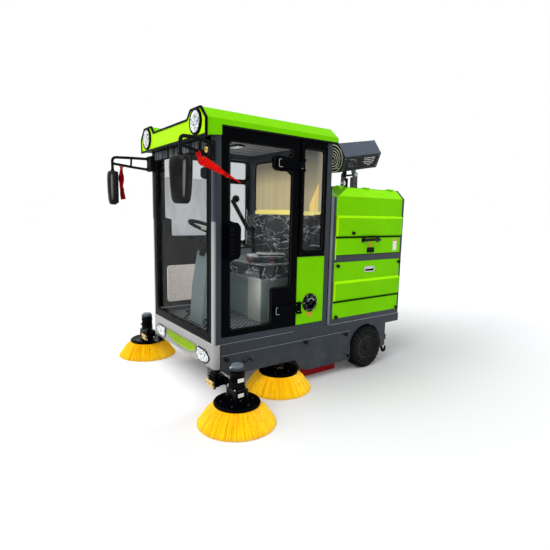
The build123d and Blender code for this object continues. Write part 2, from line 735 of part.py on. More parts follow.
def rim(width=TYRE_WIDTH, outer=102, bore=AXLE_R + RUNNING_FIT):
    """Dished disc wheel with its hub; the dish faces outwards, to the left."""
    half = width / 2
    face = outline([(bore, -42), (40, -42), (40, -12), (outer - 8, -12), (outer - 8, -half + 12),
                    (outer, -half + 12), (outer, half - 12), (outer - 8, half - 12),
                    (outer - 8, 6), (60, 14), (40, 34), (bore, 34)])
    return Rot(0, 90, 0) * revolve(Plane.XZ * face, axis=Axis.Z)


def front_fork():
    """Steering head, crown and two legs of the single steered front wheel."""
    y = FRONT_WHEEL_Y
    stem = z_disc(0, y, (400, 452), 24)
    crown = block((-100, 100), (y - 55, y + 55), (398, 424))
    fork = stem + crown
    for side in (-1, 1):
        x = sorted((82 * side, 98 * side))
        fork += side_plate(
            outline([(y - 40, 400), (y + 40, 400), (y + 26, WHEEL_R - 20), (y - 26, WHEEL_R - 20)], 10),
            x)
    fork += x_disc((-98, 98), y, WHEEL_R, AXLE_R)
    return fork


# ---------------------------------------------------------------- brushes
def side_brush(at):
    """Driven plate with a skirt of bristles that splay outwards to the floor."""
    z = BRUSH_PLATE_Z
    plate = round_profile(
        [(SPINDLE_R, z - 24), (BRUSH_PLATE_R - 8, z - 24), (BRUSH_PLATE_R, z - 14),
         (BRUSH_PLATE_R, z - 2), (BRUSH_PLATE_R - 12, z + 4), (44, z + 12), (SPINDLE_R, z + 12)], at)
    bristles = round_profile(
        [(BRUSH_PLATE_R - 62, z - 20), (BRUSH_PLATE_R - 2, z - 14), (BRUSH_R, BRUSH_LIFT + 14),
         (BRUSH_R - 4, BRUSH_LIFT), (BRUSH_R - 66, BRUSH_LIFT)], at)
    return plate + bristles


def brush_drive(at, top, radius):
    """Gear motor that stands on a side brush: square gearbox, round motor, spindle."""
    x, y = at
    z = BRUSH_PLATE_Z
    drive = z_disc(x, y, (z - 20, z + 30), SPINDLE_R - RUNNING_FIT)
    drive += block((x - radius, x + radius), (y - radius, y + radius), (z + 26, z + 92))
    drive += z_disc(x, y, (z + 90, top - 22), radius - 3)
    drive += z_disc(x, y, (top - 24, top), radius * 0.75)
    return drive


def brush_arm():
    """Lifting arm of a front side brush, with its gear motor and bumper rollers."""
    x, z = ARM_PIVOT
    arm = rod((x, 12, z), (x, 40, z), 22)
    arm += block((x, 800), (12, 40), (z - 18, z + 18))
    arm += block((610, 700), (-62, -20), (z - 24, z + 26))
    arm += block((640, 700), (-30, 20), (z - 18, z + 18))
    for roller_y, roller_z in ((-68, z + 4), (-62, z - 24)):
        arm += rod((600, roller_y, roller_z), (702, roller_y, roller_z), 11)
    arm += brush_drive(FRONT_BRUSH, 398, 51)
    return arm - rod((x, -20, z), (x, 60, z), SPINDLE_R + RUNNING_FIT)


def mid_brush_drives():
    """Gear motors of the mid brushes, on brackets under the chassis beams."""
    x, y = MID_BRUSH
    drive = brush_drive(MID_BRUSH, 392, 33)
    drive += block((345, x + 24), (y - 30, y + 30), (390, 402))
    return both_sides(drive)


def roller_brush():
    """Main sweeping roller: a core with bristle rows."""
    y, z = ROLLER_Y, ROLLER_Z
    brush = x_disc((-ROLLER_HALF, ROLLER_HALF), y, z, ROLLER_R - 2)
    return brush - x_disc((-ROLLER_HALF - 5, ROLLER_HALF + 5), y, z, AXLE_R + RUNNING_FIT)


def brush_housing():
    """Open-bottomed tunnel over the roller, with its end plates and shaft."""
    y, z = ROLLER_Y, ROLLER_Z
    outer = outline([(y - 180, 60), (y - 180, 300), (y - 110, 370), (y + 110, 370), (y + 180, 300),
                     (y + 180, 60)])
    inner = outline([(y - 170, 50), (y - 170, 297), (y - 105, 361), (y + 105, 361), (y + 170, 297),
                     (y + 170, 50)])
    tunnel = side_plate(outer, (-430, 430)) - side_plate(inner, (-416, 416))
    tunnel += x_disc((-425, 425), y, z, AXLE_R)
    for side in (-1, 1):
        tunnel += block((320 * side - 15, 320 * side + 15), (y - 60, y + 60), (368, 395))
    return tunnel


def side_flaps():
    """Red rubber flaps beside the roller."""
    flap = side_plate(outline([(880, 6), (1270, 6), (1270, 150), (880, 150)], 6), (470, 478))
    flap += block((440, 478), (890, 1260), (130, 150))
    return both_sides(flap)


# ---------------------------------------------------------------- mist cannon
def cannon_place(shape):
    """Tilts a cannon part, drawn level about the pin, to its rest angle."""
    y, z = CANNON_PIVOT
    return Pos(0, y, z) * Rot(CANNON_TILT, 0, 0) * Pos(0, -y, -z) * shape


def cannon_mast():
    """Base plate and two uprights on top of the box, with the tilting pin."""
    y, z = CANNON_PIVOT
    mast = block((-130, 130), (y - 70, y + 70), (BOX_TOP_Z, BOX_TOP_Z + 10))
    upright = side_plate(
        outline([(y - 34, BOX_TOP_Z + 5), (y + 34, BOX_TOP_Z + 5), (y + 30, z + 24),
                 (y - 30, z + 24)], 8), (74, 84))
    return mast + upright + other_side(upright) + x_disc((-92, 92), y, z, 10)


def cannon_hexagon(shrink, y):
    """A six-sided slice of the housing, with a corner pointing to each side."""
    return Pos(0, 0, CANNON_AXIS_Z) * front_plate(RegularPolygon(CANNON_R - shrink, 6), y)


def cannon_disc(radius, y):
    return Pos(0, 0, CANNON_AXIS_Z) * front_plate(Circle(radius), y)


CANNON_VENT = (1690, 2120)     # both ends of a perforated sheet while it is level


def lower_facets(sheet):
    """A sheet drawn flat about the origin, set into both lower slanting sides."""
    out = CANNON_FLAT - 3
    turn = math.radians(30)
    y = sum(CANNON_VENT) / 2
    placed = Pos(out * math.cos(turn), y, CANNON_AXIS_Z - out * math.sin(turn)) * Rot(0, 120, 0) * sheet
    return placed, other_side(placed)


def mist_cannon():
    """Six-sided fan housing, open at both ends, with the lugs it tilts on."""
    y, z = CANNON_PIVOT
    front, rear = CANNON_Y
    housing = cannon_hexagon(0, CANNON_Y) - cannon_hexagon(6, (front - 5, rear + 5))
    for window in lower_facets(Box(118, CANNON_VENT[1] - CANNON_VENT[0], 30)):
        housing -= window
    plate = cannon_hexagon(3, (front, front + 8)) - cannon_disc(CANNON_FLAT - 12, (front - 5, front + 20))
    housing += plate
    spider = cannon_disc(26, (CANNON_FAN_Y + 24, CANNON_FAN_Y + 110))
    for turn in (0, 60, 120):
        arm = block((-CANNON_R + 4, CANNON_R - 4), (CANNON_FAN_Y + 60, CANNON_FAN_Y + 66), (-7, 7))
        spider += Pos(0, 0, CANNON_AXIS_Z) * (Rot(0, turn, 0) * arm)
    spider = (spider & cannon_hexagon(4, (front, rear))).solid()
    low = CANNON_AXIS_Z - CANNON_FLAT
    lug = side_plate(
        outline([(y - 30, low + 3), (y + 30, low + 3), (y + 18, z - 16), (y - 18, z - 16)], 6),
        (58, 68))
    housing += spider + lug + other_side(lug)
    housing -= x_disc((-100, 100), y, z, 10 + RUNNING_FIT)
    return cannon_place(housing)


def cannon_vents():
    """Sheets with rows of slanting slots, let into the housing's lower sides."""
    length = CANNON_VENT[1] - CANNON_VENT[0]
    sheet = Rectangle(117, length - 1)
    slots = Sketch()
    for patch in (-105, 105):
        for row in range(-2, 3):
            for column in range(-4, 5):
                shift = 9 if row % 2 else 0
                place = Pos(row * 20, patch + column * 18 + shift)
                slots += place * (Rot(0, 0, 62) * SlotOverall(15, 6))
    plate = extrude(sheet - slots, amount=1.5, both=True)
    return cannon_place(together(*lower_facets(plate)))


def cannon_grille():
    """Flat guard over the air intake: five rings joined by eight spokes."""
    y = (CANNON_Y[0] - 6, CANNON_Y[0])
    outer = CANNON_FLAT - 5
    guard = cannon_disc(outer, y) - cannon_disc(outer - 9, (y[0] - 1, y[1] + 1))
    for ring in range(4):
        radius = 20 + 25 * ring
        guard += cannon_disc(radius + 7, y) - cannon_disc(radius, (y[0] - 1, y[1] + 1))
    for turn in range(0, 180, 45):
        bar = Rot(0, turn, 0) * Box(2 * outer - 8, 6, 5)
        guard += Pos(0, sum(y) / 2, CANNON_AXIS_Z) * bar
    return cannon_place(guard)


def cannon_fan():
    """Hub with five pitched blades."""
    fan = cannon_disc(27, (CANNON_FAN_Y - 22, CANNON_FAN_Y + 18))
    for turn in range(5):
        blade = Pos(66, 0, 0) * Rot(28, 0, 0) * Box(90, 5, 56)
        blade = Rot(0, turn * 72, 0) * blade
        fan += Pos(0, CANNON_FAN_Y - 2, CANNON_AXIS_Z) * blade
    return cannon_place(fan)


# ---------------------------------------------------------------- nodes
def all_nodes():
    left_wheel = Pos(REAR_WHEEL_X, REAR_WHEEL_Y, WHEEL_R)
    front_wheel = Pos(0, FRONT_WHEEL_Y, WHEEL_R)
    nodes = {
        "chassis_frame": chassis_frame(),
        "front_bumper": front_bumper(),
        "front_grille": front_grille(),
        "front_lamps": front_lamps(),
        "side_skirts": side_skirts(),
        "chassis_brackets": chassis_brackets(),
        "cab_tub": cab_tub(),
        "cab_frame": cab_frame(),
        "window_frames": window_frames(),
        "fixed_glass": fixed_glass(),
        "cab_side_panels": cab_side_panels(),
        "cab_roof": cab_roof(),
        "filler_cap": filler_cap(),
        "mirrors": mirrors(),
        "ribbons": ribbons(),
        "console": console(),
        "seat_base": seat_base(),
        "seat_cushion": seat_cushion(),
        "seat_back": seat_back(),
        "control_lever": control_lever(),
        "rear_frame": rear_frame(),
        "rear_cover": rear_cover(),
        "rear_side_panels": rear_side_panels(),
        "hopper": hopper(),
        "battery_pack": battery_pack(),
        "tail_lamps": tail_lamps(),
        "panel_fittings": panel_fittings(),
        "mid_brush_drives": mid_brush_drives(),
        "brush_housing": brush_housing(),
        "side_flaps": side_flaps(),
        "cannon_mast": cannon_mast(),
        "steering_wheel": steering_wheel(),
        "front_fork": front_fork(),
        "front_tyre": front_wheel * tyre(),
        "front_rim": front_wheel * rim(),
        "rear_gate": rear_gate(),
        "roller_brush": roller_brush(),
        "mist_cannon": mist_cannon(),
        "cannon_vents": cannon_vents(),
        "cannon_grille": cannon_grille(),
        "cannon_fan": cannon_fan(),
    }
    left_side = {
        "hatch": hatch(),
        "hatch_handle": hatch_handle(),
        "brush_arm": brush_arm(),
        "front_brush": side_brush(FRONT_BRUSH),
        "mid_brush": side_brush(MID_BRUSH),
        "rear_tyre": left_wheel * tyre(),
        "rear_rim": left_wheel * rim(),
    }
    for name, side in (("left", 1), ("right", -1)):
        for piece, make in (("door", door), ("door_glass", door_glass)):
            shape = make(side)
            nodes[f"{piece}_{name}"] = shape if side > 0 else other_side(shape)
    for name, shape in left_side.items():
        nodes[name + "_left"] = shape
        nodes[name + "_right"] = other_side(shape)
    return nodes


def export_nodes():
    os.makedirs("parts", exist_ok=True)
    for name, shape in all_nodes().items():
        placed = [Pos(0, -ORIGIN_Y, 0) * solid for solid in shape.solids()]
        export_step(Compound(placed), f"parts/{name}.step")


export_nodes()
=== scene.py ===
"""Ride-on floor sweeper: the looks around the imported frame.

Places are given in millimetres as x, y, z with y measured back from the front panel, as the
frame was drawn, and place() turns them into the row frame in metres.
"""

import random
from math import copysign, cos, hypot, pi, radians, sin

import bmesh
import bpy
from mathutils import Matrix, Vector


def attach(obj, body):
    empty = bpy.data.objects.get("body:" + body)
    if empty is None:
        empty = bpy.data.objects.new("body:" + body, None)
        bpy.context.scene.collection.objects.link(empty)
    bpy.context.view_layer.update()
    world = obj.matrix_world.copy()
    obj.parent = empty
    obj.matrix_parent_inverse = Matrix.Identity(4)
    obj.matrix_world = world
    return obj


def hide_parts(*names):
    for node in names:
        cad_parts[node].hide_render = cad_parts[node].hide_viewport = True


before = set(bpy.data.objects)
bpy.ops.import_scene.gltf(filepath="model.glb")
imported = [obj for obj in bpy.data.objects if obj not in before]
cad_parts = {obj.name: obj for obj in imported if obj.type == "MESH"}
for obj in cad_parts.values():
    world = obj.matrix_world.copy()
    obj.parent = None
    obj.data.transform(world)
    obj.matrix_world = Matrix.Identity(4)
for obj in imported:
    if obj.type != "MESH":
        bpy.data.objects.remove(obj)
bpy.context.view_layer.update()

ORIGIN_Y = 910          # the row frame's origin, measured back from the front panel
SIDE_X = 578.6          # half the body's width
BOX_Y = (1118, 1965)    # the rear box's side openings, with the hatch above the lower panel
HATCH_Z = (1001, 1528)
LOWER_PANEL_Z = (498, 984)
WINDSHIELD = ((-472, 472), (520, 1850))
QUARTER_Y = (766, 972)  # the quarter window behind each door
REAR_WINDOW = ((-449, 449), (1396, 1849))
REAR_WHEEL = (549.5, 1545, 192)
FRONT_WHEEL = (0, 430, 192)
FRONT_BRUSH = (842, 27) # x, y of a brush's shaft
MID_BRUSH = (519, 606)
LAMP = (455, 1965)      # x, z of a roof lamp
MIRROR_TURN = {1: 34, -1: 12}   # degrees that each side's mirror is turned towards the driver
HINGE = (598, 728)      # x, y of a door's hinge pin
HINGE_Z = ((1705, 1775), (610, 680))
STEER_RAKE = 22         # degrees that the steering shaft leans back
STEER_HUB = Vector((0, 285, 1235))
STEER_AXIS = Vector((0, sin(radians(STEER_RAKE)), cos(radians(STEER_RAKE))))
MIRROR_AT = (700, -292) # x, y of a mirror's pin
BRACKET_Z = (1730, 1818)        # the two tubes of a mirror's arm on their bracket
CAP_AT = (861, 673)     # y, z of the filler cap
CUSHION = ((-322, 462), (468, 956))     # x and y of the seat's cushion
BACKREST = ((-472, 472), (976, 1364))   # x and z of its back
CANNON_PIVOT = (1840, 1775)     # y, z
CANNON_TILT = radians(9.7)
CANNON_Z = 1956         # the cannon's axis, before it is tilted
CANNON_ENDS = (1638, 2160)      # y of its intake and its mouth
CANNON_FLAT = 155 * cos(radians(30))  # from the axis to the middle of a side
UP, LEFT, BACK = Vector((0, 0, 1)), Vector((1, 0, 0)), Vector((0, 1, 0))


def place(point):
    """Construction millimetres to the row frame in metres."""
    x, y, z = point
    return Vector((x, y - ORIGIN_Y, z)) / 1000


# ------------------------------------------------------------------ materials
def rgb(red, green, blue):
    """A colour given as 0-255 display values, as the shader wants it."""
    def linear(v):
        v /= 255
        return v / 12.92 if v <= 0.04045 else ((v + 0.055) / 1.055) ** 2.4
    return linear(red), linear(green), linear(blue), 1.0


def shade(colour, factor):
    return tuple(min(1.0, c * factor) for c in colour[:3]) + (1.0,)


class Look:
    """A material whose nodes are added by short calls. Each call returns the node's output."""

    def __init__(self, name):
        self.material = bpy.data.materials.new(name)
        self.material.use_nodes = True
        self.tree = self.material.node_tree
        self.tree.nodes.clear()
        self.at = self.add("TexCoord", out="Object")

    def add(self, kind, inputs=None, out=0, **settings):
        node = self.tree.nodes.new("ShaderNode" + kind)
        for key, value in settings.items():
            setattr(node, key, value)
        for key, value in (inputs or {}).items():
            socket = node.inputs[key]
            if isinstance(value, bpy.types.NodeSocket):
                self.tree.links.new(value, socket)
            else:
                socket.default_value = value
        return node.outputs[out]

    def noise(self, scale, detail=2.0, rough=0.5, at=None, stretch=None):
        at = at or self.at
        if stretch:
            at = self.add("Mapping", {"Vector": at, "Scale": stretch})
        return self.add("TexNoise", {"Vector": at, "Scale": scale, "Detail": detail,
                "Roughness": rough})

    def voronoi(self, scale, out="Distance", randomness=1.0):
        return self.add("TexVoronoi", {"Vector": self.at, "Scale": scale, "Randomness": randomness},
                        out=out)

    def ramp(self, value, low, high, to=(0.0, 1.0)):
        """value from low..high to the range to, held at both ends."""
        return self.add("MapRange", {"Value": value, "From Min": low, "From Max": high,
                                     "To Min": to[0], "To Max": to[1]})

    def math(self, how, a, b=0.0, c=0.0):
        return self.add("Math", {0: a, 1: b, 2: c}, operation=how)

    def product(self, first, *others):
        for other in others:
            first = self.math("MULTIPLY", first, other)
        return first

    def mix(self, factor, a, b, how="MIX"):
        node = self.tree.nodes.new("ShaderNodeMix")
        node.data_type, node.blend_type = "RGBA", how
        for socket, value in ((node.inputs[0], factor), (node.inputs[6], a), (node.inputs[7], b)):
            if isinstance(value, bpy.types.NodeSocket):
                self.tree.links.new(value, socket)
            else:
                socket.default_value = value
        return node.outputs[2]

    def axis(self, name, of=None):
        return self.add("SeparateXYZ", {"Vector": of or self.at}, out="XYZ".index(name))

    def edges(self, radius=0.004, strength=0.55):
        """The bevelled normal, and how far it leaves the flat one: 1 along an edge."""
        bevel = self.add("Bevel", {"Radius": radius}, samples=4)
        flat = self.add("NewGeometry", out="Normal")
        same = self.add("VectorMath", {0: bevel, 1: flat}, out="Value", operation="DOT_PRODUCT")
        return bevel, self.ramp(same, 1.0, strength)

    def bump(self, height, strength, distance, normal=None):
        """A normal that follows a height map, on top of another normal if one is given."""
        inputs = {"Height": height, "Strength": strength, "Distance": distance}
        if normal is not None:
            inputs["Normal"] = normal
        return self.add("Bump", inputs)

    def finish(self, **sockets):
        """The closing shader. Socket names have _ for a space."""
        shader = self.add("BsdfPrincipled", {k.replace("_", " "): v for k, v in sockets.items()})
        return self.show(shader)

    def show(self, shader):
        out = self.tree.nodes.new("ShaderNodeOutputMaterial")
        self.tree.links.new(shader, out.inputs["Surface"])
        return self.material


def painted(name, colour, rough=0.32, patch=0.10, edge=1.25, radius=0.004, gloss=0.5, dust=0.0,
            coat=0.0):
    """Sprayed sheet steel or moulded plastic: soft patches, orange peel, painted highlights on the
    edges.
    """
    look = Look(name)
    patches = look.noise(3.2, 4, 0.6)
    tone = look.mix(look.ramp(patches, 0.3, 0.7), shade(colour, 1 - patch),
                    shade(colour, 1 + patch))
    speck = look.noise(60, 3, 0.7)
    tone = look.mix(look.ramp(speck, 0.62, 0.78, (0, 0.35 * patch + 0.05)), tone,
                    shade(colour, 0.55))
    # painted highlight: faces near an edge are lightened by the factor edge
    bevel, rim = look.edges(radius)
    tone = look.mix(look.product(rim, 0.6), tone, shade(colour, edge))
    if dust:
        height = look.ramp(look.axis("Z"), 0.55, 0.05)
        grime = look.product(height, look.ramp(look.noise(9, 6, 0.65), 0.42, 0.75))
        tone = look.mix(look.product(grime, dust), tone, rgb(120, 116, 106))
    wear = look.ramp(look.noise(14, 5, 0.6), 0.35, 0.7, (rough * 0.85, min(1.0, rough * 1.25)))
    peel = look.bump(look.noise(520, 1), 0.10, 0.0006, bevel)
    return look.finish(Base_Color=tone, Roughness=wear, Normal=peel, Specular_IOR_Level=gloss,
                       Coat_Weight=coat)


def plastic(name, colour, rough=0.45, gloss=0.35, grain=0.25, edge=1.6, radius=0.002, patch=0.15):
    """Moulded or cast plastic with a fine grain, and painted highlights on its edges."""
    look = Look(name)
    tone = look.mix(look.ramp(look.noise(7, 4), 0.35, 0.65), shade(colour, 1 - patch),
                    shade(colour, 1 + patch))
    # painted highlight: faces near an edge are lightened by the factor edge
    bevel, rim = look.edges(radius)
    tone = look.mix(look.product(rim, 0.5), tone, shade(colour, edge))
    cells = look.voronoi(900)
    skin = look.bump(cells, grain, 0.0004, bevel)
    wear = look.ramp(look.noise(20, 4), 0.3, 0.7, (rough * 0.8, min(1.0, rough * 1.2)))
    return look.finish(Base_Color=tone, Roughness=wear, Normal=skin, Specular_IOR_Level=gloss)


def steel(name, colour, rough=0.28, radius=0.0012):
    """Plated or brushed metal."""
    look = Look(name)
    brushed = look.noise(40, 4, 0.6, stretch=(1, 1, 14))
    tone = look.mix(look.ramp(brushed, 0.3, 0.7), shade(colour, 0.82), shade(colour, 1.1))
    bevel, _ = look.edges(radius)
    wear = look.ramp(look.noise(90, 3), 0.3, 0.7, (rough * 0.7, rough * 1.4))
    return look.finish(Base_Color=tone, Roughness=wear, Metallic=1.0,
                       Normal=look.bump(brushed, 0.12, 0.0004, bevel))


def glass(name, tint, mirror=0.5, dirt=0.05):
    """A pane: see-through, a little gloss that grows towards the edge of view, faint smears."""
    look = Look(name)
    smear = look.noise(6, 5, 0.7, stretch=(1, 1, 0.35))
    clear = look.add("BsdfTransparent", {"Color": tint})
    film = look.add("BsdfDiffuse", {"Color": rgb(205, 212, 210)})
    veil = look.ramp(smear, 0.5, 0.85, (0.0, dirt))
    body = look.add("MixShader", {0: veil, 1: clear, 2: film})
    wavy = look.bump(look.noise(2.5, 2), 0.05, 0.004)
    shine = look.add("BsdfGlossy", {"Color": (1, 1, 1, 1), "Normal": wavy,
                                    "Roughness": look.ramp(smear, 0.3, 0.8, (0.02, 0.07))})
    edge_on = look.add("LayerWeight", {"Blend": 0.5, "Normal": wavy}, out="Facing")
    turn = look.math("MULTIPLY_ADD", look.math("POWER", edge_on, 5.0), 0.96, 0.04)
    return look.show(look.add("MixShader", {0: look.product(turn, mirror), 1: body, 2: shine}))


GREEN = rgb(118, 204, 1)
# LIT_GREEN: the green paint made lighter, as painted light where light falls
LIT_GREEN = rgb(134, 226, 1)
SLATE = rgb(34, 42, 52)
PALE_GREY = rgb(160, 160, 159)
BLACK = rgb(3, 4, 6)


def grey_steel():
    """Slate paint, with painted light on faces that look forward near the front, which makes the
    front pillars pale like the bumper, and painted highlights on edges.
    """
    look = Look("slate_paint")
    patches = look.noise(3.0, 4, 0.6)
    tone = look.mix(look.ramp(patches, 0.3, 0.7), shade(SLATE, 0.9), shade(SLATE, 1.12))
    bevel, rim = look.edges(0.005)
    # painted light: faces that look forward at the front, above 0.40-0.46 m, are lit pale grey
    # below 1.31 m and a lighter slate above
    facing = look.axis("Y", look.add("NewGeometry", out="Normal"))
    front = look.ramp(facing, -0.45, -0.98)
    lane = look.ramp(look.axis("Y"), -0.86, -0.90)
    painted_front_light = look.mix(look.ramp(look.axis("Z"), 1.306, 1.318), rgb(170, 172, 173), rgb(50, 58, 70))
    tall = look.ramp(look.axis("Z"), 0.40, 0.46)
    tone = look.mix(look.product(front, lane, tall), tone, painted_front_light)
    # painted highlight along the edges
    tone = look.mix(look.product(rim, 0.55), tone, rgb(128, 136, 142))
    height = look.ramp(look.axis("Z"), 0.5, 0.08)
    grime = look.product(height, look.ramp(look.noise(8, 6, 0.65), 0.42, 0.75))
    tone = look.mix(look.product(grime, 0.28), tone, rgb(112, 108, 98))
    wear = look.ramp(look.noise(14, 5, 0.6), 0.35, 0.7, (0.3, 0.48))
    skin = look.bump(look.noise(420, 2), 0.14, 0.0006, bevel)
    return look.finish(Base_Color=tone, Roughness=wear, Normal=skin, Specular_IOR_Level=0.3)


def lit_box_shoulder():
    """The box's slanting top in a lighter green as painted light, with a painted shade triangle at
    its front end.
    """
    look = Look("lit_box_shoulder")
    patches = look.ramp(look.noise(3.2, 4, 0.6), 0.3, 0.7)
    # painted light: a lighter copy of the green paint, for the hatches' faces that look up
    bright = rgb(146, 240, 1)
    tone = look.mix(patches, shade(bright, 0.96), shade(bright, 1.04))
    # painted shade: a darker triangle at the front end of the slope
    run = look.math("SUBTRACT", look.axis("Y"), 0.211)
    rise = look.product(look.math("SUBTRACT", look.axis("Z"), 1.522), 2.2)
    tone = look.mix(look.ramp(look.math("SUBTRACT", run, rise), 0.003, -0.003), tone,
                    shade(GREEN, 0.5))
    bevel, rim = look.edges(0.004)
    # painted highlight along the edges
    tone = look.mix(look.product(rim, 0.5), tone, shade(bright, 1.2))
    return look.finish(Base_Color=tone,
                       Roughness=look.ramp(look.noise(14, 5, 0.6), 0.35, 0.7, (0.26, 0.38)),
                       Normal=look.bump(look.noise(520, 1), 0.1, 0.0006, bevel),
                       Specular_IOR_Level=0.02)


def portal_paint():
    """The rear box's frame: slate, with green shoulders above the side posts, darkened as painted
    shade.
    """
    look = Look("portal_paint")
    patches = look.ramp(look.noise(3.0, 4, 0.6), 0.3, 0.7)
    grey = look.mix(patches, shade(SLATE, 0.9), shade(SLATE, 1.12))
    # painted shade: the shoulders take the green paint at half to three fifths of its tone
    shaded_shoulder_green = look.mix(patches, shade(GREEN, 0.5), shade(GREEN, 0.62))
    high = look.ramp(look.axis("Z"), 1.519, 1.521)
    ahead = look.ramp(look.axis("Y"), 0.3, 0.29)
    tone = look.mix(look.product(high, ahead), grey, shaded_shoulder_green)
    bevel, rim = look.edges(0.006)
    # painted highlight along the edges
    tone = look.mix(look.product(rim, 0.55), tone, rgb(134, 142, 146))
    wear = look.ramp(look.noise(14, 5, 0.6), 0.35, 0.7, (0.3, 0.48))
    skin = look.bump(look.noise(420, 2), 0.14, 0.0006, bevel)
    return look.finish(Base_Color=tone, Roughness=wear, Normal=skin, Specular_IOR_Level=0.35)


def rubber(name, colour, rough=0.75, dust=0.25):
    """Rubber with patches of dust, and paler edges that are painted highlights."""
    look = Look(name)
    tone = look.mix(look.ramp(look.noise(18, 5), 0.35, 0.7), shade(colour, 0.8),
                    shade(colour, 1.25))
    grime = look.ramp(look.noise(11, 7, 0.7), 0.48, 0.8, (0.0, dust))
    tone = look.mix(grime, tone, rgb(116, 110, 98))
    # painted highlight: the edges are made much paler
    bevel, rim = look.edges(0.0015)
    tone = look.mix(look.product(rim, 0.4), tone, shade(colour, 2.2))
    skin = look.bump(look.noise(300, 4), 0.3, 0.0006, bevel)
    return look.finish(Base_Color=tone, Normal=skin, Specular_IOR_Level=0.1,
                       Roughness=look.ramp(look.noise(30, 3), 0.3, 0.7, (rough * 0.85, 0.9)))


def bristle(name, light, deep):
    """Fibres that run outwards and down: brighter at the tips, streaked along their length, with a
    faint glow that is painted light.
    """
    look = Look(name)
    strand = look.noise(160, 2, 0.5, stretch=(1, 1, 0.12))
    tone = look.mix(look.ramp(strand, 0.3, 0.7), deep, light)
    low = look.ramp(look.axis("Z"), 0.15, 0.02)
    tone = look.mix(look.product(low, 0.45), tone, shade(light, 1.15))
    dusty = look.ramp(look.axis("Z"), 0.03, 0.0)
    tone = look.mix(look.product(dusty, 0.35), tone, rgb(196, 150, 70))
    # the emission is painted light: the fibres glow faintly in their own colour
    return look.finish(Base_Color=tone, Roughness=look.ramp(strand, 0.2, 0.8, (0.35, 0.55)),
                       Normal=look.bump(strand, 0.35, 0.001), Specular_IOR_Level=0.4,
                       Emission_Color=tone, Emission_Strength=0.12)


def crinkled_film():
    """Clear packing film, pulled over the seat: creases painted white as highlights, milky in
    patches, and whiter where it faces up, as painted reflection.
    """
    look = Look("packing_film")
    moved = look.add("Mapping", {"Vector": look.at, "Location": (0.3, 0.1, 0.2),
            "Scale": (1, 1.5, 2.6)})
    warp = look.noise(3.4, at=moved)

    def lines(scale, wide, twist):
        crease = look.add("TexNoise", {"Vector": moved, "Scale": scale, "Detail": 2,
                "Roughness": 0.5, "Distortion": twist})
        ridge = look.math("ABSOLUTE", look.math("SUBTRACT", crease, 0.5))
        return look.ramp(ridge, 0.25 * wide, wide, (1.0, 0.0))

    long = lines(3.6, 0.020, 0.9)
    short = look.product(lines(9, 0.05, 1.6), look.ramp(warp, 0.54, 0.62, (0.0, 0.8)))
    sharp = look.math("MAXIMUM", long, short)
    height = look.math("ADD", look.product(sharp, 0.6), look.product(warp, 0.8))
    normal = look.bump(height, 0.9, 0.02)
    haze = look.ramp(look.noise(5, 3, 0.6), 0.5, 0.7, (0.0, 0.16))
    clear = look.add("BsdfTransparent", {"Color": (1, 1, 1, 1)})
    shine = look.add("BsdfGlossy", {"Color": (0.9, 0.92, 0.95, 1), "Roughness": 0.12,
            "Normal": normal})
    turn = look.add("Fresnel", {"IOR": 1.5, "Normal": normal})
    milky = look.add("BsdfDiffuse", {"Color": rgb(246, 250, 252), "Normal": normal})
    # painted reflection: faces that look up are made whiter
    level = look.ramp(look.axis("Z", look.add("NewGeometry", out="Normal")), 0.6, 0.95,
                      (0.03, 0.22))
    # painted highlights: the crease lines are mixed towards white
    white = look.math("MAXIMUM", look.math("MAXIMUM", level, haze), look.product(sharp, 0.62))
    body = look.add("MixShader", {0: white, 1: clear, 2: milky})
    return look.show(look.add("MixShader", {0: look.product(turn, 0.25), 1: body, 2: shine}))


def lamp_facets():
    """Bright reflector behind a lamp cover, its reflections painted as colour: mostly white, with
    grey and dark facets between.
    """
    look = Look("lamp_facets")
    # painted reflection: each facet gets a white, grey or dark tone
    cells = look.add("SeparateColor", {"Color": look.voronoi(95, out="Color")})
    tone = look.add("ValToRGB", {"Fac": cells})
    ramp = tone.node.color_ramp
    ramp.interpolation = "CONSTANT"
    ramp.elements[0].color, ramp.elements[1].color = rgb(60, 62, 64), rgb(246, 247, 248)
    ramp.elements[1].position = 0.34
    for position, value in ((0.07, 150), (0.17, 205)):
        ramp.elements.new(position).color = rgb(value, value, value)
    return look.finish(Base_Color=tone, Roughness=look.ramp(cells, 0, 1, (0.1, 0.3)), Metallic=0.25,
                       Normal=look.bump(look.voronoi(95), 0.4, 0.002))


def beige_film():
    """Protective film on the rear window: warm grey with upright streaks, a painted shadow across
    its top, pale along its foot, and a glow that is painted light.
    """
    look = Look("window_film")
    streak = look.noise(5, 4, 0.6, stretch=(6, 1, 0.25))
    tone = look.mix(look.ramp(streak, 0.35, 0.7), rgb(186, 170, 130), rgb(204, 188, 146))
    height = look.axis("Z")
    # painted shadow: the film darkens towards grey above 1.64 m, under the roof
    tone = look.mix(look.ramp(height, 1.64, 1.80, (0, 0.75)), tone, rgb(84, 84, 82))
    tone = look.mix(look.ramp(height, 1.414, 1.408), tone, rgb(255, 236, 132))
    # the emission is painted light: the film glows in its own colour
    return look.finish(Base_Color=tone, Roughness=look.ramp(streak, 0.2, 0.8, (0.3, 0.5)),
                       Normal=look.bump(look.noise(9, 5, 0.6), 0.3, 0.01), Specular_IOR_Level=0.1,
                       Emission_Color=tone, Emission_Strength=0.55)


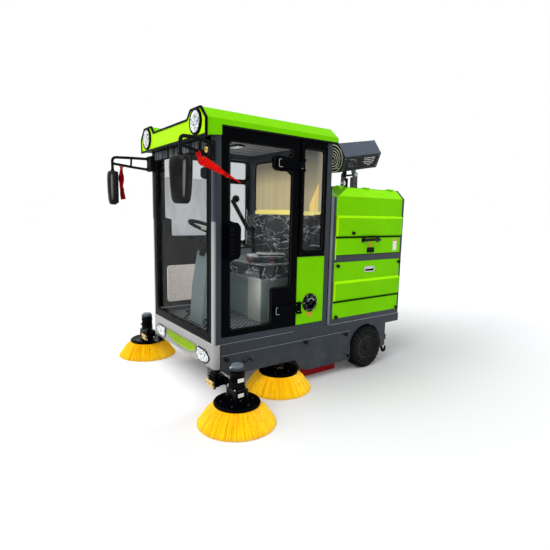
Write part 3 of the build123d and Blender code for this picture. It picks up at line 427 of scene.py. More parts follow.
def door_film():
    """Film on the right door's glass: pale grey with upright smears and painted glints, beige
    below, and a glow that is painted light.
    """
    look = Look("door_film")
    smear = look.noise(6, 5, 0.65, stretch=(1, 1.6, 0.5))
    tone = look.mix(look.ramp(smear, 0.35, 0.68), rgb(168, 170, 173), rgb(196, 198, 200))
    # painted highlights: small white glints among the smears
    painted_glints = look.product(look.ramp(look.noise(70, 5, 0.75), 0.62, 0.70),
            look.ramp(smear, 0.45, 0.6))
    tone = look.mix(painted_glints, tone, rgb(240, 240, 240))
    sand = look.mix(look.ramp(look.noise(90, 4, 0.7), 0.35, 0.65), rgb(178, 168, 160),
                    rgb(214, 204, 196))
    tone = look.mix(look.ramp(look.axis("Z"), 1.01, 0.99), tone, sand)
    # the emission is painted light
    return look.finish(Base_Color=tone, Roughness=look.ramp(smear, 0.2, 0.8, (0.4, 0.6)),
                       Normal=look.bump(smear, 0.3, 0.01), Specular_IOR_Level=0.05,
                       Emission_Color=tone, Emission_Strength=0.5)


def quarter_film():
    """Film inside the left quarter window: grey above, beige below, with a yellow patch of painted
    light and a glow that is painted light.
    """
    look = Look("quarter_film")
    streak = look.noise(6, 4, 0.6, stretch=(1, 5, 0.3))
    across, height = look.axis("Y"), look.axis("Z")
    tone = look.mix(look.ramp(height, 1.84, 1.52), rgb(84, 84, 80), rgb(186, 170, 136))
    tone = look.mix(look.ramp(across, -0.01, 0.05, (0, 0.5)), tone, rgb(206, 196, 172))
    # painted light: a slanted yellow patch of light on the film
    slant = look.math("SUBTRACT", across, look.product(height, 0.52))
    painted_light_wedge = look.product(look.ramp(slant, -0.826, -0.818), look.ramp(across, 0.028, 0.020))
    painted_light_wedge = look.product(painted_light_wedge, look.ramp(across, -0.070, -0.064))
    tone = look.mix(painted_light_wedge, tone, rgb(255, 218, 128))
    tone = look.mix(look.ramp(height, 1.402, 1.396), tone, rgb(255, 236, 150))
    tone = look.mix(look.ramp(streak, 0.4, 0.7, (0, 0.25)), tone, rgb(120, 116, 104))
    # the emission is painted light
    return look.finish(Base_Color=tone, Roughness=look.ramp(streak, 0.2, 0.8, (0.4, 0.6)),
                       Normal=look.bump(streak, 0.2, 0.01), Specular_IOR_Level=0.05,
                       Emission_Color=tone, Emission_Strength=0.4)


def mirror_housing():
    """Gloss black, with a painted reflection: the pale band along the crown of the rounded housing.
    """
    look = Look("mirror_housing")
    cloud = look.noise(9, 4)
    tone = look.mix(look.ramp(cloud, 0.35, 0.65), rgb(20, 19, 19), rgb(32, 31, 30))
    # painted reflection: faces turned one way get a pale band
    facing = look.add("VectorMath", {0: look.add("NewGeometry", out="Normal"),
            1: (0.90, -0.43, 0.0)}, out="Value", operation="DOT_PRODUCT")
    tone = look.mix(look.ramp(facing, 0.972, 0.999, (0, 0.8)), tone, rgb(134, 132, 128))
    return look.finish(Base_Color=tone, Roughness=look.ramp(cloud, 0.3, 0.7, (0.18, 0.3)),
                       Normal=look.bump(cloud, 0.05, 0.001), Specular_IOR_Level=0.08)


def lining_cloth():
    """Grey cloth with a fine weave, under the roof."""
    look = Look("headliner")
    grey, rough = rgb(92, 93, 95), 0.8
    tone = look.mix(look.ramp(look.noise(40, 4), 0.3, 0.7), shade(grey, 0.7), shade(grey, 1.3))
    thread = look.voronoi(500, randomness=0.4)
    return look.finish(Base_Color=tone, Normal=look.bump(thread, 0.5, 0.0008), Sheen_Weight=0.3,
                       Roughness=look.ramp(look.noise(60, 2), 0.3, 0.7,
                                           (rough * 0.8, rough * 1.3)))


def satin(name, colour, glint):
    """Ribbon: deep folds along its length, darkened as painted shade, with a few painted glints."""
    look = Look(name)
    fold = look.noise(22, 3, 0.6, stretch=(1, 1, 1.6))
    # painted shade: the folds darken to a third of the colour
    tone = look.mix(look.ramp(fold, 0.32, 0.5), shade(colour, 0.3), colour)
    # painted highlights: a few glints in the glint colour
    tone = look.mix(look.ramp(look.noise(58, 2), 0.66, 0.72), tone, glint)
    return look.finish(Base_Color=tone, Roughness=look.ramp(fold, 0.3, 0.7, (0.4, 0.6)),
                       Normal=look.bump(fold, 0.6, 0.004), Specular_IOR_Level=0.05)


def package():
    """A folded pack in clear film: pale on top as painted light, dark with faded red along its
    sides.
    """
    look = Look("packed_parts")
    cloud = look.noise(34, 3, 0.6, stretch=(1, 1, 3))
    run = look.add("VectorMath", {0: look.at, 1: (0.43, 0.90, 0.0)}, out="Value",
                   operation="DOT_PRODUCT")
    red = look.product(look.ramp(look.math("PINGPONG", run, 0.09), 0.056, 0.066),
                       look.ramp(cloud, 0.4, 0.55))
    tone = look.mix(red, rgb(44, 56, 56), rgb(112, 62, 62))
    tone = look.mix(look.ramp(cloud, 0.6, 0.68), tone, rgb(176, 182, 180))
    # painted light: faces that look up take the pale film tone
    facing = look.axis("Z", look.add("NewGeometry", out="Normal"))
    film = look.mix(look.ramp(cloud, 0.35, 0.6), rgb(126, 134, 132), rgb(206, 210, 208))
    tone = look.mix(look.ramp(facing, 0.25, 0.6), tone, film)
    return look.finish(Base_Color=tone, Roughness=look.ramp(cloud, 0.3, 0.7, (0.2, 0.4)),
                       Normal=look.bump(cloud, 0.5, 0.004), Specular_IOR_Level=0.2)


def vinyl():
    """Black leatherette with a pebbled grain."""
    look = Look("seat_vinyl")
    tone = look.mix(look.ramp(look.noise(12, 5), 0.35, 0.7), rgb(14, 15, 16), rgb(28, 29, 30))
    grain = look.voronoi(420)
    return look.finish(Base_Color=tone, Specular_IOR_Level=0.2,
                       Roughness=look.ramp(look.noise(25, 4), 0.3, 0.7, (0.35, 0.5)),
                       Normal=look.bump(grain, 0.4, 0.0008))


LOOKS = {
    "green": painted("green_paint", GREEN, rough=0.3, patch=0.05, edge=1.45, dust=0.12, gloss=0.02),
    # painted light: the cab roof, and a strip on each hatch's front edge, in the lit green
    "lime": painted("roof_moulding", LIT_GREEN, rough=0.26, patch=0.03, edge=1.3, radius=0.006,
                    gloss=0.02),
    # painted light: the lit green of faces that look forward, on the roof's front and the box
    # panels' front edges
    "fascia": painted("fascia", rgb(178, 240, 3), rough=0.26, patch=0.03, edge=1.15, gloss=0.02),
    "slate": grey_steel(),
    "portal": portal_paint(),
    "mast": painted("mast_paint", rgb(44, 47, 51), rough=0.4, patch=0.1, edge=1.8),
    "pale": painted("bumper_paint", PALE_GREY, rough=0.36, patch=0.07, edge=1.3, radius=0.006,
                    dust=0.3, gloss=0.2),
    "black": painted("black_paint", BLACK, rough=0.22, patch=0.2, edge=6.0, gloss=0.02,
                     radius=0.003),
    "cab_grey": painted("cab_grey", rgb(124, 138, 136), rough=0.5, patch=0.08, edge=1.25, dust=0.1,
                        gloss=0.2),
    "plastic": plastic("black_plastic", rgb(12, 12, 13), rough=0.3, gloss=0.12),
    "matt": plastic("matt_black", rgb(9, 9, 10), rough=0.7, gloss=0.1, grain=0.4),
    "mirror_shell": mirror_housing(),
    "dark_bolt": plastic("blackened_bolt", rgb(26, 26, 28), rough=0.35, gloss=0.3),
    "steel": steel("zinc", (0.56, 0.57, 0.58, 1)),
    "chrome": steel("reflector", (0.86, 0.87, 0.88, 1), rough=0.16),
    "brass": steel("brass", (0.72, 0.52, 0.2, 1), rough=0.3),
    "cannon": painted("cannon_paint", rgb(72, 82, 98), rough=0.42, patch=0.08, edge=1.3, gloss=0.3),
    "cannon_dark": painted("vent_paint", rgb(13, 14, 16), rough=0.5, patch=0.1, edge=1.8,
            radius=0.0015, gloss=0.2),
    "beige": painted("intake_guard", rgb(206, 198, 180), rough=0.45, patch=0.06, edge=1.2,
                     radius=0.0015),
    "guard": painted("intake_plate", rgb(40, 42, 44), rough=0.5, patch=0.1, edge=1.5, radius=0.0015,
                     gloss=0.2),
    "grille": painted("grille_paint", rgb(176, 214, 26), rough=0.4, patch=0.12, edge=1.25,
                      radius=0.0012),
    "bristle": bristle("bristle", rgb(255, 222, 18), rgb(250, 186, 6)),
    "bristle_deep": bristle("bristle_root", rgb(236, 170, 6), rgb(190, 118, 2)),
    "tyre": rubber("tyre_rubber", rgb(6, 6, 7), rough=0.5, dust=0.04),
    "rim": plastic("wheel_rim", rgb(4, 4, 5), rough=0.24, gloss=0.14, grain=0.05),
    # dark grey: louvre ribs and stays, and painted highlight rings on the wheels and painted glints
    # on the filler cap
    "lug": painted("lamp_guard", rgb(74, 76, 80), rough=0.3, patch=0.1, edge=1.6, gloss=0.4),
    "painted_lit_shoulder": lit_box_shoulder(),
    # painted light: the upward slope of the panels' creases, lit brighter
    "crease": painted("crease", rgb(172, 250, 8), rough=0.26, patch=0.03, edge=1.1, gloss=0.02),
    # painted shade: the roof's sides, darker than its lit top
    "roof_side": painted("roof_side", rgb(112, 204, 1), rough=0.26, patch=0.03, edge=1.4,
            radius=0.006, gloss=0.02),
    "red_rubber": rubber("red_rubber", rgb(150, 16, 26), rough=0.6, dust=0.15),
    "seal": rubber("gasket", rgb(12, 12, 13), rough=0.6, dust=0.08),
    "pane": glass("clear_glass", (0.87, 0.88, 0.885, 1), mirror=0.12, dirt=0.02),
    "lens": glass("lamp_glass", (0.97, 0.98, 0.98, 1), mirror=0.5, dirt=0.06),
    "lamp": lamp_facets(),
    "red_lens": painted("tail_lens", rgb(150, 12, 14), rough=0.12, patch=0.15, edge=1.5, coat=0.6),
    "amber": painted("amber_lens", rgb(240, 188, 12), rough=0.14, patch=0.1, edge=1.3, coat=0.6),
    "film": crinkled_film(),
    "package": package(),
    "grip": plastic("wheel_grip", rgb(5, 5, 6), rough=0.7, gloss=0.02, grain=0.1, edge=1.3),
    # light slate: the brush motors' caps, and painted highlights along the skirt's and the posts'
    # edges
    "post_edge": painted("post_edge", rgb(104, 113, 121), rough=0.35, patch=0.12, edge=1.2,
            gloss=0.2),
    "vinyl": vinyl(),
    "ribbon": satin("ribbon_cloth", rgb(214, 12, 4), rgb(255, 128, 40)),
    "dark_ribbon": satin("ribbon_cloth_dark", rgb(166, 6, 16), rgb(196, 24, 30)),
    "sticker": painted("blank_sticker", rgb(226, 224, 214), rough=0.4, patch=0.04, edge=1.0),
    "orange": painted("orange_sticker", rgb(222, 122, 24), rough=0.4, patch=0.06, edge=1.0),
    # pale cream: the steering wheel's spokes, and a painted highlight line along the bumper's top
    # edge
    "cream": painted("edge_strip", rgb(214, 210, 196), rough=0.35, patch=0.05, edge=1.1),
    # painted highlights: light lines along edges, on the hinge straps and on the mat's lugs
    "painted_edge_highlight": painted("painted_edge_highlight", rgb(176, 182, 184), rough=0.35, patch=0.2, edge=1.2),
    "screen": painted("screen_ribs", rgb(112, 120, 130), rough=0.3, patch=0.7, edge=1.8, gloss=0.3),
    "mirror_glass": steel("mirror_glass", (0.8, 0.82, 0.84, 1), rough=0.03),
    # painted shade: dark lines under the panels' pressed steps and round the gate's ribs
    "green_dark": painted("green_shadow_line", rgb(14, 46, 2), rough=0.5, patch=0.1, edge=1.2,
            gloss=0.02),
    "tread_plate": painted("tread_plate", rgb(36, 40, 40), rough=0.4, patch=0.25, edge=2.2,
            radius=0.0015),
    "pale_panel": painted("pale_panel", rgb(168, 172, 164), rough=0.5, patch=0.12, edge=1.2),
    "tray": painted("battery_cover", rgb(96, 106, 102), rough=0.5, patch=0.1, edge=1.3),
    "beige_film": beige_film(),
    "battery": plastic("battery_case", rgb(44, 46, 48), rough=0.5),
    "headliner": lining_cloth(),
    # painted shade: the cannon's two lower slanting sides, which face down
    "shaded_low_facet": painted("cannon_underside", rgb(34, 37, 42), rough=0.5, patch=0.1, edge=1.5,
            gloss=0.2),
    "door_film": door_film(),
    "quarter_film": quarter_film(),
    "lining": painted("door_lining", rgb(17, 14, 11), rough=0.8, patch=0.5, edge=1.3, gloss=0.05),
}

# which look each CAD node takes
NODE_LOOKS = {
    "green": "cab_side_panels rear_cover hatch_left hatch_right rear_side_panels rear_gate",
    "lime": "cab_roof",
    "slate": "side_skirts cab_tub cab_frame chassis_brackets chassis_frame brush_housing hopper "
             "front_fork",
    "portal": "rear_frame",
    "mast": "cannon_mast",
    "pale": "front_bumper",
    "black": "window_frames door_left door_right brush_arm_left brush_arm_right",
    "cab_grey": "console seat_base",
    "plastic": "filler_cap panel_fittings mid_brush_drives control_lever hatch_handle_left "
               "hatch_handle_right cannon_fan",
    "rim": "front_rim rear_rim_left rear_rim_right",
    "grip": "steering_wheel",
    "mirror_shell": "mirrors",
    "pane": "door_glass_left door_glass_right fixed_glass",
    "lens": "front_lamps",
    "red_lens": "tail_lamps",
    "grille": "front_grille",
    "tyre": "front_tyre rear_tyre_left rear_tyre_right roller_brush",
    "red_rubber": "side_flaps",
    "cannon": "mist_cannon",
    "cannon_dark": "cannon_vents",
    "guard": "cannon_grille",
    "battery": "battery_pack",
    "bristle": "front_brush_left front_brush_right mid_brush_left mid_brush_right",
    "ribbon": "ribbons",
    "vinyl": "seat_cushion seat_back",
}


def dress_nodes():
    """Gives each CAD node its look, and some of their faces a second one."""
    for look, names in NODE_LOOKS.items():
        for name in names.split():
            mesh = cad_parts[name].data
            mesh.materials.clear()
            mesh.materials.append(LOOKS[look])
    second_look("mist_cannon", "matt", inside_cannon)
    # painted shade: the cannon's lower slanting sides take a darker paint
    second_look("mist_cannon", "shaded_low_facet", under_cannon)
    second_look("steering_wheel", "cream", on_spoke)
    # painted light: the roof's front faces take the lit fascia green
    second_look("cab_roof", "fascia", lambda at, normal: normal.y < -0.9 and at.y < 0)
    # painted shade: the roof's sides take a darker green than its top
    second_look("cab_roof", "roof_side", lambda at, normal: abs(normal.x) > 0.93
                and abs(at.x) > 560)
    # painted light: the hatches' faces that look up take the lighter green
    for end in ("left", "right"):
        second_look("hatch_" + end, "painted_lit_shoulder", lambda at, normal: normal.z > 0.4
                    and at.z > 1500)
    # painted reflection: the lamps' reflector faces take the painted facets
    second_look("front_lamps", "lamp",
                lambda at, normal: at.y > 0 and abs(at.x) < 530 and at.z < 500 or at.y > -60)


def second_look(node, look, chosen):
    """Gives the faces of a CAD node whose centre passes a test a second material."""
    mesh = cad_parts[node].data
    mesh.materials.append(LOOKS[look])
    for face in mesh.polygons:
        if chosen(face.center * 1000 + Vector((0, ORIGIN_Y, 0)), face.normal):
            face.material_index = len(mesh.materials) - 1


def inside_cannon(at, normal):
    """True for faces of the cannon's housing that look towards its axis, and for the spider."""
    level = Matrix.Rotation(-CANNON_TILT, 3, "X") @ (at - Vector((0, *CANNON_PIVOT)))
    spoke = Vector((level.x, 0, level.z + CANNON_PIVOT[1] - CANNON_Z))
    facing = Matrix.Rotation(-CANNON_TILT, 3, "X") @ normal
    return spoke.length < 126 or (spoke.dot(facing) < -1 and level.z > -20)


def under_cannon(at, normal):
    """True for the outer faces of the cannon's two lower slanting sides."""
    facing = Matrix.Rotation(-CANNON_TILT, 3, "X") @ normal
    return facing.z < -0.3 and abs(facing.x) > 0.5 and not inside_cannon(at, normal)


def on_spoke(at, normal):
    """True for the steering wheel's spokes, between its hub and its rim."""
    out = at - STEER_HUB
    return out.length < 165 and 46 < hypot(out.x, out.y * cos(radians(STEER_RAKE)))


# ------------------------------------------------------------------ shapes
def winding(points):
    """1 for an outline that runs anticlockwise, -1 for the other way."""
    area = sum(a[0] * b[1] - b[0] * a[1] for a, b in zip(points, points[1:] + points[:1]))
    return 1 if area > 0 else -1


def offset(points, by):
    """A closed outline moved outwards by a distance, with mitred corners."""
    turn = winding(points)
    moved = []
    for before, here, after in zip(points[-1:] + points[:-1], points, points[1:] + points[:1]):
        a = (Vector(here) - Vector(before)).normalized()
        b = (Vector(after) - Vector(here)).normalized()
        out_a, out_b = Vector((a.y, -a.x)) * turn, Vector((b.y, -b.x)) * turn
        middle = (out_a + out_b).normalized()
        moved.append(tuple(Vector(here) + middle * by / max(0.35, middle.dot(out_a))))
    return moved


def rounded(points, radius, steps=4):
    """A closed outline with each corner cut by a short arc."""
    out = []
    for before, here, after in zip(points[-1:] + points[:-1], points, points[1:] + points[:1]):
        here = Vector(here)
        a, b = Vector(before) - here, Vector(after) - here
        reach = min(radius, a.length * 0.45, b.length * 0.45)
        start, end = here + a.normalized() * reach, here + b.normalized() * reach
        for i in range(steps + 1):
            t = i / steps
            out.append(tuple(start * (1 - t) ** 2 + here * 2 * t * (1 - t) + end * t * t))
    return out


def rectangle(x, y):
    (x0, x1), (y0, y1) = sorted(x), sorted(y)
    return [(x0, y0), (x1, y0), (x1, y1), (x0, y1)]


def turns(count):
    """Equal steps round a circle."""
    return [2 * pi * k / count for k in range(count)]


def link(name, data):
    thing = bpy.data.objects.new(name, data)
    bpy.context.scene.collection.objects.link(thing)
    return thing


def bend(points, radius, steps=6):
    """An open path with its corners rounded."""
    points = [Vector(p) for p in points]
    out = [points[0]]
    for before, here, after in zip(points, points[1:], points[2:]):
        a, b = before - here, after - here
        reach = min(radius, a.length * 0.45, b.length * 0.45)
        start, end = here + a.normalized() * reach, here + b.normalized() * reach
        out += [start * (1 - t) ** 2 + here * 2 * t * (1 - t) + end * t * t
                for t in (i / steps for i in range(steps + 1))]
    return out + [points[-1]]


def frame_of(direction):
    """Two directions square to one direction."""
    direction = Vector(direction).normalized()
    side = direction.cross(UP if abs(direction.z) < 0.9 else LEFT).normalized()
    return side, direction.cross(side)


class Piece:
    """One visible piece: faces are collected, then made into an object that rides on a body."""

    def __init__(self, name, body, look):
        self.name, self.body, self.looks, self.slot = name, body, [look], 0
        self.mesh = bmesh.new()

    def use(self, look):
        """The look of the faces made from here on."""
        if look not in self.looks:
            self.looks.append(look)
        self.slot = self.looks.index(look)
        return self

    def skin(self, rings, around=True, along=False, caps=True, smooth=False):
        """Quads between rings of points, each ring closed if around."""
        rows = [[self.mesh.verts.new(place(p)) for p in ring] for ring in rings]
        faces = []
        spans = list(zip(rows, rows[1:])) + ([(rows[-1], rows[0])] if along else [])
        for a, b in spans:
            count = len(a)
            for i in range(count if around else count - 1):
                j = (i + 1) % count
                faces.append(self.mesh.faces.new((a[i], a[j], b[j], b[i])))
        if caps and around and not along:
            faces += [self.mesh.faces.new(rows[0][::-1]), self.mesh.faces.new(rows[-1])]
        for face in faces:
            face.material_index, face.smooth = self.slot, smooth
        return self

    def prism(self, points, axis, low, high, edge=0.0, smooth=False):
        """An outline in the two other axes, drawn from low to high, with chamfered rims."""
        if axis == "x":
            low, high = sorted((low, high))
        levels = [(low, -edge), (low + edge, 0), (high - edge, 0),
                  (high, -edge)] if edge else [(low, 0), (high, 0)]
        rings = []
        for level, grow in levels:
            ring = offset(points, grow) if grow else points
            rings.append([self.lift(p, axis, level) for p in ring])
        return self.skin(rings, smooth=smooth)

    @staticmethod
    def lift(p, axis, level):
        return {"x": (level, p[0], p[1]), "y": (p[0], level, p[1]), "z": (p[0], p[1], level)}[axis]

    def band(self, points, axis, low, high, out=0.0, inner=4.0, edge=0.8):
        """A frame along a closed outline, from inner inside it to out outside it."""
        section = [(out, low), (out, high - edge), (out - edge, high), (edge - inner, high),
                   (-inner, high - edge), (-inner, low)]
        rings = [[self.lift(p, axis, level) for p in offset(points, grow)]
                 for grow, level in section]
        return self.skin(rings, along=True)

    def block(self, x, y, z, edge=1.5):
        return self.prism(rounded(rectangle(x, y), edge, 1), "z", z[0], z[1], edge)

    def lathe(self, centre, direction, profile, count=32, smooth=True, start=0.0):
        """A profile of (radius, height) pairs turned about a direction."""
        side, up = frame_of(direction)
        direction, centre = Vector(direction).normalized(), Vector(centre)
        rings = []
        for radius, height in profile:
            rings.append([centre + direction * height + (side * cos(a) + up * sin(a)) * radius
                          for a in (start + 2 * pi * i / count for i in range(count))])
        return self.skin(rings, smooth=smooth)

    def rod(self, start, end, radius, count=16, edge=0.0, smooth=True):
        start, end = Vector(start), Vector(end)
        length = (end - start).length
        if edge:
            profile = [(radius - edge, 0), (radius, edge), (radius, length - edge),
                       (radius - edge, length)]
        else:
            profile = [(radius, 0), (radius, length)]
        return self.lathe(start, end - start, profile, count, smooth)

    def tube(self, path, radius, count=10, closed=False, flat=1.0):
        """A round tube along a path. radius may be a list, one for each point."""
        path = [Vector(p) for p in path]
        radii = radius if isinstance(radius, (list, tuple)) else [radius] * len(path)
        side, up = None, None
        rings = []
        for i, here in enumerate(path):
            before = path[i - 1] if i or closed else here
            after = path[(i + 1) % len(path)] if i + 1 < len(path) or closed else here
            heading = (after - before).normalized()
            if side is None:
                side, up = frame_of(heading)
            side = (side - heading * side.dot(heading)).normalized()
            up = heading.cross(side)
            rings.append([here + (side * cos(a) + up * sin(a) * flat) * radii[i]
                          for a in turns(count)])
        return self.skin(rings, along=closed, smooth=True)

    def bolt(self, centre, direction, size=9.0, washer=True):
        """A hexagon head with a chamfered top, on a washer."""
        direction = Vector(direction).normalized()
        centre = Vector(centre)
        if washer:
            self.lathe(centre, direction, [(size * 1.0, -1), (size * 1.0, 1.2), (size * 0.9, 1.8)],
                       18, False)
        self.lathe(centre + direction * 1.6, direction,
                   [(size * 0.66, 0), (size * 0.66, size * 0.45), (size * 0.5, size * 0.58)],
                   6, False)
        return self

    def screw(self, centre, direction, radius=5.0):
        """A low round head with a hexagon socket."""
        self.lathe(centre, direction, [(radius, -0.6), (radius, radius * 0.35),
                (radius * 0.75, radius * 0.6), (radius * 0.42, radius * 0.62),
                (radius * 0.42, radius * 0.25)], 14, False)
        return self

    def ball(self, centre, radius, count=16):
        rings = count // 2
        return self.lathe(centre, UP,
                          [(radius * sin(pi * i / rings) + 0.01, -radius * cos(pi * i / rings))
                           for i in range(rings + 1)], count)

    def patch(self, rows, smooth=False):
        """An open surface through rows of points."""
        return self.skin(rows, around=False, caps=False, smooth=smooth)

    def turned(self, angle, axis, about):
        """Everything so far, turned about an axis through a point."""
        about = place(about)
        bmesh.ops.rotate(self.mesh, verts=self.mesh.verts, cent=about,
                         matrix=Matrix.Rotation(angle, 3, axis))
        return self

    def make(self, sharp=32, open_shape=False):
        """The object, with a hard edge wherever two faces meet at more than sharp degrees."""
        bm = self.mesh
        bmesh.ops.remove_doubles(bm, verts=bm.verts, dist=2e-6)
        bmesh.ops.dissolve_degenerate(bm, edges=bm.edges, dist=1e-6)
        if not open_shape:
            bmesh.ops.recalc_face_normals(bm, faces=bm.faces)
        limit = radians(sharp)
        for edge in bm.edges:
            if len(edge.link_faces) == 2 and edge.calc_face_angle(0) > limit:
                edge.smooth = False
        data = bpy.data.meshes.new(self.name)
        bm.to_mesh(data)
        bm.free()
        for look in self.looks:
            data.materials.append(LOOKS[look])
        thing = link(self.name, data)
        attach(thing, self.body)
        return thing


def sides():
    """The two sides, as a sign for x and the name's ending."""
    return (1, "left"), (-1, "right")


# ------------------------------------------------------------------ roof and lamps
FASCIA_HALF = [(600, 1865), (602, 1975), (522, 2054), (371, 2054), (318, 2000)]
FASCIA = FASCIA_HALF + [(-x, z) for x, z in reversed(FASCIA_HALF)]


def roof_trim():
    """Black edge strip round the fascia, and the seals under the roof's sides."""
    trim = Piece("roof_trim", "chassis", "black")
    trim.band(FASCIA, "y", -62, -75, out=3.0, inner=11.0, edge=1.5)
    for side, _ in sides():
        trim.use("seal").prism(rectangle((572 * side, 599 * side), (-50, 1092)), "z", 1932,
                1943.5, 1.2)
    trim.make()


def faceted(piece, centre, radius, y, rings, count, depth, seed):
    """A reflector of small flat facets, each with its own slight tilt, facing forwards."""
    draw = random.Random(seed)
    rows = []
    for j in range(rings + 1):
        r = radius * j / rings
        row = []
        for i in range(count):
            a = 2 * pi * (i + 0.5 * (j % 2)) / count
            tilt = draw.uniform(-0.14, 0.14) * (0 < j < rings)
            sink = depth * (1 - (j / rings) ** 2) + tilt * depth
            row.append((centre[0] + r * cos(a), y + sink, centre[1] + r * sin(a)))
        rows.append(row)
    piece.skin(rows[1:], caps=False)
    return piece


def disc_lens(piece, centre, radius, y, bulge):
    """A clear cover, slightly domed towards the front."""
    profile = [(radius, 0), (radius, 3)]
    profile += [(radius * cos(t), 3 + bulge * sin(t)) for t in (0.35, 0.7, 1.05, 1.4)]
    profile.append((0.4, 3 + bulge))
    return piece.use("lens").lathe((centre[0], y, centre[1]), -BACK, profile, 40)


def roof_lamps():
    """Round work lamps: a ringed housing, a reflector with five bulbs and a domed cover."""
    for side, end in sides():
        lamp = Piece("roof_lamp_" + end, "chassis", "black")
        x, z = LAMP[0] * side, LAMP[1]
        lamp.lathe((x, -71, z), -BACK, [(68, -8), (86, -8), (87, 1), (86, 8), (82, 13), (73, 14),
                (69, 10), (67, -8)], 48)
        lamp.use("lamp")
        faceted(lamp, (x, z), 70, -82, 6, 24, 16, 5 + side)
        for dx, dz in ((-24, 24), (24, 24), (-24, -24), (24, -24), (0, 0)):
            lamp.lathe((x + dx, -66, z + dz), -BACK, [(17, 8), (19, 12.5), (17, 12.5), (9, 4),
                    (3, 2)], 20)
            lamp.use("steel").ball((x + dx, -72, z + dz), 5, 10).use("lamp")
        disc_lens(lamp, (x, z), 70, -80, 4)
        lamp.make()


HEADLAMP = [(318, 290), (452, 290), (513, 338), (452, 387), (302, 387)]


def headlamps():
    """Faceted bowls behind a flush cover, with a black gasket round it."""
    for side, end in sides():
        lamp = Piece("headlamp_" + end, "chassis", "seal")
        rim = rounded([(x * side, z) for x, z in HEADLAMP], 26, 6)
        lamp.band(rim, "y", 6, -5.5, out=4, inner=4, edge=1.2)
        lamp.use("lamp")
        lamp.prism(offset(rim, -3), "y", -3.2, -4.4, 0.4)
        for k, (x, z, r) in enumerate(((350, 338, 37), (422, 340, 35), (473, 338, 20),
                (386, 368, 13), (386, 309, 13))):
            lamp.lathe((x * side, -4, z), -BACK, [(r + 3, 0), (r + 3, 3), (r + 1, 4),
                    (r - 1, 3)], 28)
            faceted(lamp, (x * side, z), r, -6.5, 4, 14, 3, 11 * k + side)
            lamp.use("steel").lathe((x * side, -4, z), -BACK, [(r * 0.22, 0), (r * 0.22, 4),
                    (0.3, 6)], 12).use("lamp")
        for x, z, w in ((386, 338, 2.2), (449, 338, 2.2), (322, 372, 2.0), (322, 305, 2.0)):
            lamp.block((side * (x - w), side * (x + w)), (-7, -3), (z - 26, z + 26), 0.6)
        lamp.use("lens").prism(offset(rim, -3.5), "y", -8.5, -9.5, 0.5)
        lamp.make()


def grille_trim():
    """Rim round the grille, and a small boss on the bridges between its holes."""
    trim = Piece("grille_trim", "chassis", "pale")
    outline = rounded([(-285, 392), (285, 392), (285, 338), (150, 302), (-150, 302),
                       (-285, 338)], 12)
    trim.band(outline, "y", 8, -3, out=5, inner=2, edge=1.5)
    trim.use("grille")
    row = 20 * sin(radians(60))
    for j in range(-3, 4):
        for i in range(-15, 16):
            x, z = (i + (j % 2) / 2) * 20, 347 + j * row + row * 0.64
            half = 285 if z > 340 else 150 + (z - 302) * 135 / 36
            if abs(x) < half - 12 and 306 < z < 386:
                trim.lathe((x, 6, z), -BACK, [(3.4, -1), (3.4, 1.6), (2.0, 3.0), (0.3, 3.3)], 8)
    trim.use("matt").prism(outline, "y", 24, 27)
    trim.make()


# ------------------------------------------------------------------ brushes
def side_brush(name, body, at, seed):
    """Fibre tufts that splay out from the plate to the floor over a dense core, and the plate."""
    draw = random.Random(seed)
    x0, y0 = at
    fibres = Piece(name + "_bristles", body, "bristle")
    fibres.use("bristle_deep").lathe((x0, y0, 0), UP, [(96, 130), (147, 130), (151, 128), (198, 80),
            (250, 16), (247, 7), (205, 6), (140, 80)], 72)
    fibres.skin([[(x0 + r * cos(a), y0 + r * sin(a), z) for a in turns(72)]
                 for r, z in ((96, 130), (140, 80))], caps=False, smooth=True)
    for lane, (root, knee, tip, count) in enumerate(((154, 205, 261, 210), (153, 202, 257, 190),
            (150, 198, 246, 120))):
        for i in range(count):
            turn = 2 * pi * (i + lane / 3) / count
            lean = draw.gauss(0, 0.010)
            for _ in range((5, 4, 3)[lane]):
                a = turn + draw.gauss(0, 0.006)
                splay = turn + lean + draw.gauss(0, 0.012)
                reach = min(263.0, tip + draw.gauss(0, 2.0))
                low = max(1.2, 3.5 + draw.gauss(0, 1.8) + 1.5 * lane)
                fibres.use("bristle" if draw.random() < 0.84 else "bristle_deep")
                middle = knee + draw.gauss(0, 0.8), (a + splay) / 2, 86 - 2 * lane + draw.gauss(0,
                        1.2)
                points = [Vector((x0 + r * cos(t), y0 + r * sin(t), z))
                          for r, t, z in ((root - 4, a, 134), middle, (reach, splay, low))]
                fibre(fibres, points, 1.25 + draw.random() * 0.6)
    skirt = fibres.make(sharp=180)
    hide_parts(name)
    plate = Piece(name + "_plate", body, "black")
    z = 148
    plate.lathe((x0, y0, z), UP, [(12, -24), (146, -24), (153, -16), (156, -11), (157, -3),
            (153, 3), (147, 7), (140, 8), (134, 5), (62, 9), (62, 15), (58, 17), (50, 17), (47, 12),
            (12, 12)], 72)
    for i in range(6):
        a = radians(60 * i + 12)
        for r, size, look in ((108, 7.5, "dark_bolt"), (34, 7.5, "brass")):
            plate.use(look).bolt((x0 + r * cos(a), y0 + r * sin(a), z + (6 if r > 100 else 12)),
                    UP, size)
    plate.use("brass").lathe((x0, y0, z), UP, [(24, 11), (24, 16), (19, 20), (17, 26)], 6, False)
    plate.make()


def fibre(piece, points, radius):
    """One thin three-sided strand."""
    rings = []
    for i, here in enumerate(points):
        heading = (points[min(i + 1, 2)] - points[max(i - 1, 0)]).normalized()
        side = heading.cross(UP).normalized()
        up = heading.cross(side)
        rings.append([here + (side * cos(a) + up * sin(a)) * radius for a in (0.5, 2.6, 4.7)])
    piece.skin(rings)


